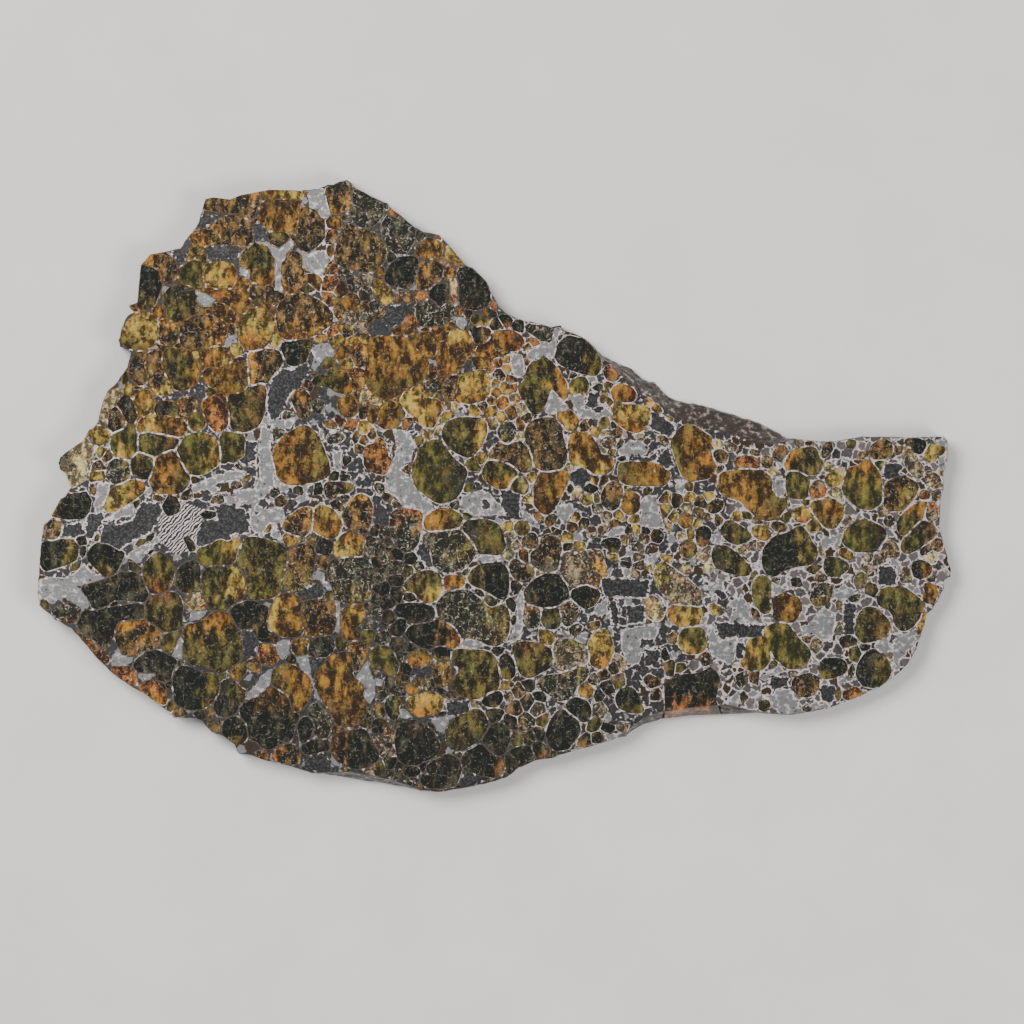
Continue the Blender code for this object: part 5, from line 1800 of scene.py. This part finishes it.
@dataclass
class OlivineCrystals:
    """The large crystals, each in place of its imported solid.

    Attributes:
        mosaic: the front as laid out.
        metal: the network whose pockets they fill.
        polish: how far the ground edge of a crystal is rounded over, in millimetres.
        cuts: cuts across each edge of a crystal at the slice's edge.
    """

    mosaic: Mosaic
    metal: MetalNetwork
    polish: float = 0.05
    cuts: int = 2

    def build(self, nodes: dict[str, bpy.types.Object]) -> list[bpy.types.Object]:
        """Every large crystal as its own object, in the order of their names.

        Args:
            nodes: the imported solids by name.

        Returns:
            The objects.
        """
        pieces = []
        for number, pane in enumerate(self.mosaic.crystals):
            pieces.append(self.dressed(pane, self.ground(pane), number))
        for number, pane in enumerate(self.mosaic.edge_crystals):
            shape = merged_copy(nodes[pane.node])
            bmesh.ops.subdivide_edges(shape, edges=shape.edges, cuts=self.cuts, use_grid_fill=True)
            pieces.append(self.dressed(pane, shape, len(self.mosaic.crystals) + number))
        return pieces

    def ground(self, pane: Pane) -> bmesh.types.BMesh:
        """A crystal held all round by metal: two polished faces and its flanks.

        Args:
            pane: the crystal as it shows in the front.

        Returns:
            Its shape, in metres.
        """
        thickness = self.mosaic.thickness
        levels = ((0.0, -self.polish), (self.polish, 0.0), (thickness / 2, 0.0),
                  (thickness - self.polish, 0.0), (thickness, -self.polish))
        shape = bmesh.new()
        rings = []
        for height, step in levels:
            share = 1.0 - self.metal.back_taper * (1.0 - height / thickness)
            ring = pane.middle + (stepped(pane.outline, step) - pane.middle) * share
            rings.append([shape.verts.new(place) for place in placed_at(ring, height) * METRES_PER_MM])
        for low, high in zip(rings, rings[1:]):
            for index in range(len(low)):
                follow = (index + 1) % len(low)
                shape.faces.new((low[index], low[follow], high[follow], high[index]))
        shape.faces.new(rings[0][::-1])
        shape.faces.new(rings[-1])
        return shape

    def dressed(self, pane: Pane, shape: bmesh.types.BMesh, number: int) -> bpy.types.Object:
        """The crystal's object, with what its finish reads stored on its vertices."""
        mesh = bpy.data.meshes.new(pane.node + "_crystal")
        write_mesh(shape, mesh)
        store_look(mesh, [(pane, len(mesh.vertices))], [number])
        return link(pane.node + "_crystal", mesh)


OWN_NUMBER_STEP = 0.731
OWN_NUMBERS = 10.0


def store_look(mesh: bpy.types.Mesh, panes: list[tuple[Pane, int]], numbers: list[int]) -> None:
    """Store each crystal's second colour, how far each vertex lies towards the lit side where that colour is
    painted as glow, and a number of its own.

    Args:
        mesh: a mesh whose vertices lie crystal after crystal.
        panes: each crystal with its count of vertices.
        numbers: each crystal's own number, which picks its clouds and cracks.
    """
    places = vertex_places(mesh)[:, :2]
    lean, colour, own = [], [], []
    first = 0
    for (pane, count), number in zip(panes, numbers):
        # How far each vertex lies towards the lit side, where the glow is painted.
        reach = places[first:first + count] - pane.middle
        along = reach @ np.array(pane.look.side.value)
        lean.append(along / max(float(np.abs(along).max()), 1e-6))
        colour.append(np.tile((*OLIVINES[pane.look.glow].light, 1.0), (count, 1)))
        own.append(np.full(count, number * OWN_NUMBER_STEP % OWN_NUMBERS))
        first += count
    set_attribute(mesh, "painted_glow_lean", np.concatenate(lean))
    set_attribute(mesh, "glow_colour", np.concatenate(colour))
    set_attribute(mesh, "own_number", np.concatenate(own))


@dataclass
class SmallGrains:
    """The smaller crystals and the broken fragments, one piece for each finish.

    Attributes:
        mosaic: the front as laid out.
        polish: how far a grain's ground edge is rounded over, in millimetres.
        floor_share: size of a grain's lower end beside its upper one.
        crown_share: size of its polished face beside the ring below it.
    """

    mosaic: Mosaic
    polish: float = 0.04
    floor_share: float = 0.93
    crown_share: float = 0.97

    def faces(self, tone: Tone) -> bpy.types.Object:
        """The outlines of one finish's grains as flat faces, just below the front.

        Args:
            tone: the finish's tone.

        Returns:
            The object, with what its finish reads stored on its vertices.
        """
        height = (self.mosaic.thickness - self.polish) * METRES_PER_MM
        panes = [pane for pane in self.mosaic.grains + self.mosaic.rubble if pane.look.tone is tone]
        mesh = bpy.data.meshes.new("grain_faces_" + tone.value)
        places, rings = [], []
        for pane in panes:
            rings.append(list(range(len(places), len(places) + len(pane.outline))))
            places += [(x * METRES_PER_MM, y * METRES_PER_MM, height) for x, y in pane.outline]
        mesh.from_pydata(places, [], rings)
        store_look(mesh, [(pane, len(pane.outline)) for pane in panes], list(range(len(panes))))
        deep = [np.full(len(pane.outline), (pane.depth - self.polish) * METRES_PER_MM) for pane in panes]
        set_attribute(mesh, "grain_depth", np.concatenate(deep) - BACK_GAP)
        return link("grains_" + tone.value, mesh)

    def tree(self, material: bpy.types.Material) -> bpy.types.NodeTree:
        """Geometry nodes that make a closed grain of every flat face.

        Args:
            material: the grains' finish.

        Returns:
            The tree, with its inputs for the polished edge and the taper.
        """
        tree = bpy.data.node_groups.new("grain_bodies_" + material.name, "GeometryNodeTree")
        for name, kind in (("Geometry", "NodeSocketGeometry"), ("Polish", "NodeSocketFloat"),
                           ("Crown share", "NodeSocketFloat"), ("Floor share", "NodeSocketFloat")):
            tree.interface.new_socket(name, in_out="INPUT", socket_type=kind)
        tree.interface.new_socket("Geometry", in_out="OUTPUT", socket_type="NodeSocketGeometry")
        wiring = Wiring(tree)
        group = wiring.node("NodeGroupInput")
        depth = wiring.node("GeometryNodeInputNamedAttribute", {"Name": "grain_depth"}, data_type="FLOAT")
        crown = self.drawn_out(wiring, group.outputs["Geometry"], (0.0, 0.0, 1.0),
                               group.outputs["Polish"], group.outputs["Crown share"])
        body = self.drawn_out(wiring, group.outputs["Geometry"], (0.0, 0.0, -1.0),
                              depth.outputs["Attribute"], group.outputs["Floor share"])
        flipped = wiring.node("GeometryNodeFlipFaces", {"Mesh": body})
        joined = wiring.node("GeometryNodeJoinGeometry")
        tree.links.new(crown, joined.inputs["Geometry"])
        tree.links.new(flipped.outputs["Mesh"], joined.inputs["Geometry"])
        merged = wiring.node("GeometryNodeMergeByDistance",
                             {"Geometry": joined.outputs["Geometry"], "Distance": MERGE_DISTANCE})
        realized = wiring.node("GeometryNodeRealizeInstances", {"Geometry": merged.outputs["Geometry"]})
        finished = wiring.node("GeometryNodeSetMaterial",
                               {"Geometry": realized.outputs["Geometry"], "Material": material})
        wiring.node("NodeGroupOutput", {"Geometry": finished.outputs["Geometry"]})
        return tree

    def drawn_out(self, wiring: Wiring, faces: Socket, direction: tuple[float, float, float],
                  distance: Socket, share: Socket) -> Socket:
        """Each face drawn out along a direction and its far end scaled.

        Args:
            wiring: adds the nodes.
            faces: the faces.
            direction: the way they are drawn out.
            distance: how far.
            share: size of the far end beside the near one.

        Returns:
            The drawn-out faces.
        """
        heading = wiring.node("ShaderNodeCombineXYZ", dict(zip("XYZ", direction)))
        drawn = wiring.node("GeometryNodeExtrudeMesh", {"Mesh": faces, "Offset": heading.outputs[0],
                                                        "Offset Scale": distance, "Individual": True},
                            mode="FACES")
        scaled = wiring.node("GeometryNodeScaleElements",
                             {"Geometry": drawn.outputs["Mesh"], "Selection": drawn.outputs["Top"],
                              "Scale": share}, domain="FACE")
        return scaled.outputs["Geometry"]

    def build(self, tone: Tone, material: bpy.types.Material) -> bpy.types.Object:
        """The grains of one finish as one plain mesh.

        Args:
            tone: the finish's tone.
            material: the finish.

        Returns:
            The object.
        """
        piece = self.faces(tone)
        tree = self.tree(material)
        modifier = piece.modifiers.new("Grain bodies", "NODES")
        modifier.node_group = tree
        sizes = {"Polish": self.polish * METRES_PER_MM, "Crown share": self.crown_share,
                 "Floor share": self.floor_share}
        for item in tree.interface.items_tree:
            if item.name in sizes and item.in_out == "INPUT":
                modifier[item.identifier] = sizes[item.name]
        depsgraph = bpy.context.evaluated_depsgraph_get()
        mesh = bpy.data.meshes.new_from_object(piece.evaluated_get(depsgraph))
        piece.modifiers.remove(modifier)
        shape = bmesh.new()
        shape.from_mesh(mesh)
        write_mesh(shape, mesh)
        piece.data = mesh
        return piece


@dataclass(frozen=True)
class EtchedMetal:
    """The etched iron-nickel with its bright borders, grey fields, dark fields and weathered rim.

    Scales are per metre. A span is from where to where a change goes: an edge in millimetres, the
    others in the numbers of their pattern.

    Attributes:
        border: the pinkish-white metal along the grains, where it is bright.
        dull, amber: the same border where it is tarnished, and beside amber crystals.
        light, bright: the grey metal of the wide channels, and its brighter patches.
        slate, fleck: the fine dark metal within them, and its lighter flecks.
        grey, taupe: its plates, and their browner grey towards the east end.
        crumbs: crushed olivine in the open metal.
        crust, rust, grit_rust: the weathered rim and its two lighter shades.
        bend_scale, bend_reach: how finely the plates are bent, and how far in metres.
        grit_swing, haze_swing: how far the two move the outlines of borders and fields.
        border_width: width of a border, from patch to patch.
        tarnished, tarnish_weight: how strong the tarnish is, and how much it takes off the shine.
        taupe_veins: how many more veins the taupe zone has.
        seams: middle and half width of the bright seams round the dark and the light fields.
        rim_waver: how unsteady the rim's edge is.
        plate_turn: how far the parallel plates are turned, in radians.
    """

    border: Colour = (0.74, 0.640, 0.615)
    dull: Colour = (0.105, 0.085, 0.070)
    amber: Colour = (0.24, 0.125, 0.035)
    light: Colour = (0.245, 0.240, 0.237)
    bright: Colour = (0.56, 0.55, 0.555)
    slate: Colour = (0.038, 0.037, 0.038)
    fleck: Colour = (0.10, 0.097, 0.10)
    grey: Colour = (0.055, 0.053, 0.053)
    taupe: Colour = (0.200, 0.172, 0.165)
    crumbs: Colour = (0.060, 0.042, 0.026)
    crust: Colour = (0.030, 0.023, 0.018)
    rust: Colour = (0.070, 0.042, 0.028)
    grit_rust: Colour = (0.085, 0.066, 0.055)
    grit_scale: float = 2600.0
    haze_scale: float = 1000.0
    patch_scale: float = 260.0
    plate_scale: float = 620.0
    bend_scale: float = 900.0
    bend_reach: float = 0.0005
    grit_swing: float = 0.20
    haze_swing: float = 1.7
    border_width: Span = (0.06, 0.20)
    patchy: Span = (0.35, 0.65)
    tarnished: float = 1.4
    tarnish_weight: float = 0.11
    zone_edge: Span = (-0.5, 1.5)
    taupe_edge: Span = (-1.0, 2.0)
    plated_edge: Span = (-0.1, 0.1)
    field_edge: Span = (-0.04, 0.04)
    border_edge: Span = (-0.04, 0.05)
    rim_edge: Span = (0.0, 0.22)
    shining: Span = (0.32, 0.52)
    veined: Span = (0.40, 0.54)
    seamed: Span = (0.30, 0.48)
    taupe_veins: float = 0.10
    vein_width: Span = (0.04, 0.11)
    whole: Span = (0.31, 0.36)
    seams: tuple[Span, Span] = ((0.04, 0.16), (0.0, 0.15))
    crumbled: Span = (0.78, 0.80)
    lightened: Span = (0.86, 0.88)
    ambered: Span = (0.35, 0.60)
    flecked: Span = (0.42, 0.75)
    brightened: Span = (0.52, 0.66)
    rusted: Span = (0.42, 0.70)
    gritty: Span = (0.60, 0.78)
    rim_waver: float = 0.3
    plate_turn: float = -0.80
    plate_gaps: Span = (0.50, 0.72)
    metallic: float = 0.80
    polish: Span = (0.30, 0.48)
    polished: Span = (0.2, 0.8)
    bumps: float = 0.3

    def material(self) -> bpy.types.Material:
        """The finish as a material that reads the pattern on the network's vertices.

        Returns:
            The material.
        """
        material, wiring, shader = new_material("iron_nickel_etched")
        place = wiring.object_place()
        grit = wiring.cloud(place, self.grit_scale, 2.0)
        haze = wiring.cloud(place, self.haze_scale, 2.0)
        patch = wiring.cloud(place, self.patch_scale, 1.0)
        bent = wiring.stirred(place, self.bend_scale, self.bend_reach)
        fine = wiring.swing(grit, self.grit_swing)
        waver = wiring.swing(haze, self.haze_swing)
        tarnish = wiring.fall(wiring.attribute("tarnish_gap"), self.zone_edge, self.tarnished)
        shine = wiring.math("SUBTRACT", wiring.plus(haze, fine),
                            wiring.times(wiring.plus(tarnish, patch), self.tarnish_weight))
        light_gap = wiring.plus(wiring.attribute("light_gap"), waver)
        slate_gap = wiring.plus(wiring.attribute("slate_gap"), waver)
        dark = wiring.blend(wiring.step(grit, self.flecked), self.slate, self.fleck)
        field = wiring.layered(self.plates(wiring, bent, dark, shine), [
            (wiring.times(wiring.fall(light_gap, self.field_edge), wiring.step(haze, self.whole)),
             wiring.blend(wiring.step(haze, self.brightened), self.light, self.bright)),
            (wiring.fall(slate_gap, self.field_edge), dark),
            (wiring.times(wiring.math("MAXIMUM", wiring.band(slate_gap, *self.seams[0]),
                                      wiring.band(light_gap, *self.seams[1])),
                          wiring.step(shine, self.seamed)), self.border),
            (wiring.fall(wiring.attribute("plated_gap"), self.plated_edge),
             self.parallel_plates(wiring, bent))])
        gap = wiring.plus(wiring.attribute("grain_gap"), fine)
        gap = wiring.math("SUBTRACT", gap, wiring.step(patch, self.patchy, *self.border_width))
        warm = wiring.fall(wiring.attribute("amber_gap"), self.zone_edge)
        dull = wiring.blend(warm, self.dull,
                            wiring.blend(wiring.step(haze, self.ambered), self.crumbs, self.amber))
        rim = wiring.blend(wiring.step(shine, self.shining), dull, self.border)
        edge_gap = wiring.plus(wiring.attribute("edge_gap"), wiring.times(waver, self.rim_waver))
        weathered = wiring.fall(edge_gap, self.rim_edge)
        rust = wiring.blend(wiring.step(haze, self.rusted), self.crust, self.rust)
        rust = wiring.blend(wiring.step(grit, self.gritty), rust, self.grit_rust)
        colour = wiring.layered(field, [(wiring.fall(gap, self.border_edge), rim), (weathered, rust)])
        wiring.feed(shader, {"Base Color": colour,
                             "Metallic": wiring.times(wiring.math("SUBTRACT", 1.0, weathered), self.metallic),
                             "Roughness": wiring.step(grit, self.polished, *self.polish),
                             "Normal": wiring.bump(grit, self.bumps)})
        return material

    def plates(self, wiring: Wiring, bent: Socket, dark: Socket, shine: Socket) -> Socket:
        """The open metal: small plates from dark to grey, with crumbs, light plates and bright veins.

        Args:
            wiring: adds the nodes.
            bent: the place that the plates are read at.
            dark: the darkest plates' colour.
            shine: how bright the metal is.

        Returns:
            The colour.
        """
        to_taupe = wiring.fall(wiring.attribute("taupe_gap"), self.taupe_edge)
        vein = wiring.plus(shine, wiring.times(to_taupe, self.taupe_veins))
        vein = wiring.times(wiring.fall(wiring.cell_edge(bent, self.plate_scale), self.vein_width),
                            wiring.step(vein, self.veined))
        plate = wiring.cells(bent, self.plate_scale)
        return wiring.layered(dark, [(plate[0], wiring.blend(to_taupe, self.grey, self.taupe)),
                                     (wiring.step(plate[1], self.crumbled), self.crumbs),
                                     (wiring.step(plate[2], self.lightened), self.light),
                                     (vein, self.border)])

    def parallel_plates(self, wiring: Wiring, bent: Socket) -> Socket:
        """The fine parallel plates of the plated field."""
        turned = wiring.turned(bent, (0.0, 0.0, self.plate_turn), (1.0, 1.0, 1.0))
        waves = wiring.node("ShaderNodeTexWave", {"Vector": turned, "Scale": self.plate_scale,
                                                  "Distortion": 0.8, "Detail": 1.0, "Detail Scale": 1.5},
                            bands_direction="Y")
        return wiring.blend(wiring.step(waves.outputs["Fac"], self.plate_gaps), self.slate, self.border)


@dataclass(frozen=True)
class Lamp:
    """A round soft light that looks at the slice: its place, its width in metres and its power in watts."""

    name: str
    place: tuple[float, float, float]
    size: float
    power: float


@dataclass(frozen=True)
class Studio:
    """The pale floor, the soft lights and the camera that looks straight down.

    Attributes:
        photo: ties the view to the slice.
        thickness: thickness of the slice, in millimetres.
        floor_size: side of the floor, in metres.
        floor_gap: how far the floor lies below the slice's back.
        floor_shades: the two shades of its soft mottle.
        floor_roughness: how matt it is.
        camera_height: height of the camera above the slice.
        sensor: width of the camera's sensor, in millimetres.
        nearest_view: how near the camera still sees, in metres.
        lamps: a wide soft key light, and a fill from the other side.
        lamp_colour: their colour.
        surrounding: colour of the pale surrounding.
        surrounding_strength: how bright it is.
    """

    photo: Photograph
    thickness: float
    floor_size: float = 4.0
    floor_gap: float = 1e-4
    floor_shades: tuple[Colour, Colour] = ((0.76, 0.75, 0.73), (0.80, 0.79, 0.77))
    floor_roughness: float = 0.8
    camera_height: float = 1.0
    sensor: float = 36.0
    nearest_view: float = 0.01
    lamps: tuple[Lamp, ...] = (Lamp("key_light", (-0.45, 0.35, 0.75), 0.55, 9.5),
                               Lamp("fill_light", (0.60, -0.30, 0.60), 0.45, 4.5))
    lamp_colour: Colour = (1.0, 0.985, 0.96)
    surrounding: Colour = (0.93, 0.95, 1.0)
    surrounding_strength: float = 0.40

    def floor(self) -> None:
        """A wide pale floor just below the slice."""
        shape = bmesh.new()
        bmesh.ops.create_grid(shape, x_segments=8, y_segments=8, size=self.floor_size / 2)
        bmesh.ops.translate(shape, verts=shape.verts, vec=(0.0, 0.0, -self.floor_gap))
        mesh = bpy.data.meshes.new("floor")
        shape.to_mesh(mesh)
        shape.free()
        material, wiring, shader = new_material("pale_floor")
        mottle = wiring.step(wiring.cloud(wiring.object_place(), 40.0, 3.0), (0.3, 0.7))
        wiring.feed(shader, {"Base Color": wiring.blend(mottle, *self.floor_shades),
                             "Roughness": self.floor_roughness})
        mesh.materials.append(material)
        floor = link("floor", mesh)
        floor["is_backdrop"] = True

    def lights(self) -> None:
        """The lamps and the pale surrounding."""
        for lamp in self.lamps:
            light = bpy.data.lights.new(lamp.name, "AREA")
            light.shape = "DISK"
            light.size = lamp.size
            light.energy = lamp.power
            light.color = self.lamp_colour
            holder = link(lamp.name, light)
            holder.location = lamp.place
            holder.rotation_euler = (-Vector(lamp.place)).to_track_quat("-Z", "Y").to_euler()
        world = bpy.data.worlds.new("soft surrounding")
        world.use_nodes = True
        background = world.node_tree.nodes["Background"]
        background.inputs["Color"].default_value = (*self.surrounding, 1.0)
        background.inputs["Strength"].default_value = self.surrounding_strength
        bpy.context.scene.world = world

    def camera(self) -> None:
        """The camera straight above the middle of the photograph's frame."""
        middle = self.photo.placed(np.array([self.photo.side / 2, self.photo.side / 2])) * METRES_PER_MM
        lens = bpy.data.cameras.new("camera")
        lens.sensor_width = self.sensor
        view_width = self.photo.side * self.photo.mm_per_pixel * METRES_PER_MM
        lens.lens = self.sensor * self.camera_height / view_width
        lens.clip_start = self.nearest_view
        holder = link("camera", lens)
        holder.location = (middle[0], middle[1], self.camera_height + self.thickness * METRES_PER_MM)
        bpy.context.scene.camera = holder

    def build(self) -> None:
        """The whole studio."""
        self.floor()
        self.lights()
        self.camera()


def dress(piece: bpy.types.Object, material: bpy.types.Material, node: str) -> None:
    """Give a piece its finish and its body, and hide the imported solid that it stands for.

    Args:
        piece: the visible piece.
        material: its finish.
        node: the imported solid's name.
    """
    piece.data.materials.clear()
    piece.data.materials.append(material)
    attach(piece, BODY)
    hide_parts(node)
    LOG.info("%s: %d triangles for %s", piece.name, len(piece.data.polygons), node)


def main() -> None:
    """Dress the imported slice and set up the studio."""
    logging.basicConfig(level=logging.INFO, format="%(message)s", stream=sys.stdout)
    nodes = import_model()["nodes"]
    packed_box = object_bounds()
    photo = Photograph.fitted(*packed_box)
    thickness = (packed_box[1].z - packed_box[0].z) / METRES_PER_MM

    mosaic = Mosaic(photo, thickness)
    mosaic.take_crystals(nodes)
    mosaic.place_grains()
    mosaic.grow_together()
    mosaic.place_rubble()
    LOG.info("%d crystals, %d grains, %d fragments", len(mosaic.crystals) + len(mosaic.edge_crystals),
             len(mosaic.grains), len(mosaic.rubble))

    network = MetalNetwork(mosaic)
    dress(network.build(nodes[METAL_NODE]), EtchedMetal().material(), METAL_NODE)
    finishes = {tone: OLIVINES[tone].material(tone) for tone in Tone}
    for crystal in OlivineCrystals(mosaic, network).build(nodes):
        node = crystal.name.removesuffix("_crystal")
        tone = CRYSTAL_LOOKS[node].tone
        dress(crystal, finishes[tone], node)
    small = SmallGrains(mosaic)
    for tone in Tone:
        dress(small.build(tone, finishes[tone]), finishes[tone], METAL_NODE)

    Studio(photo, thickness).build()


if __name__ == "__main__":
    main()
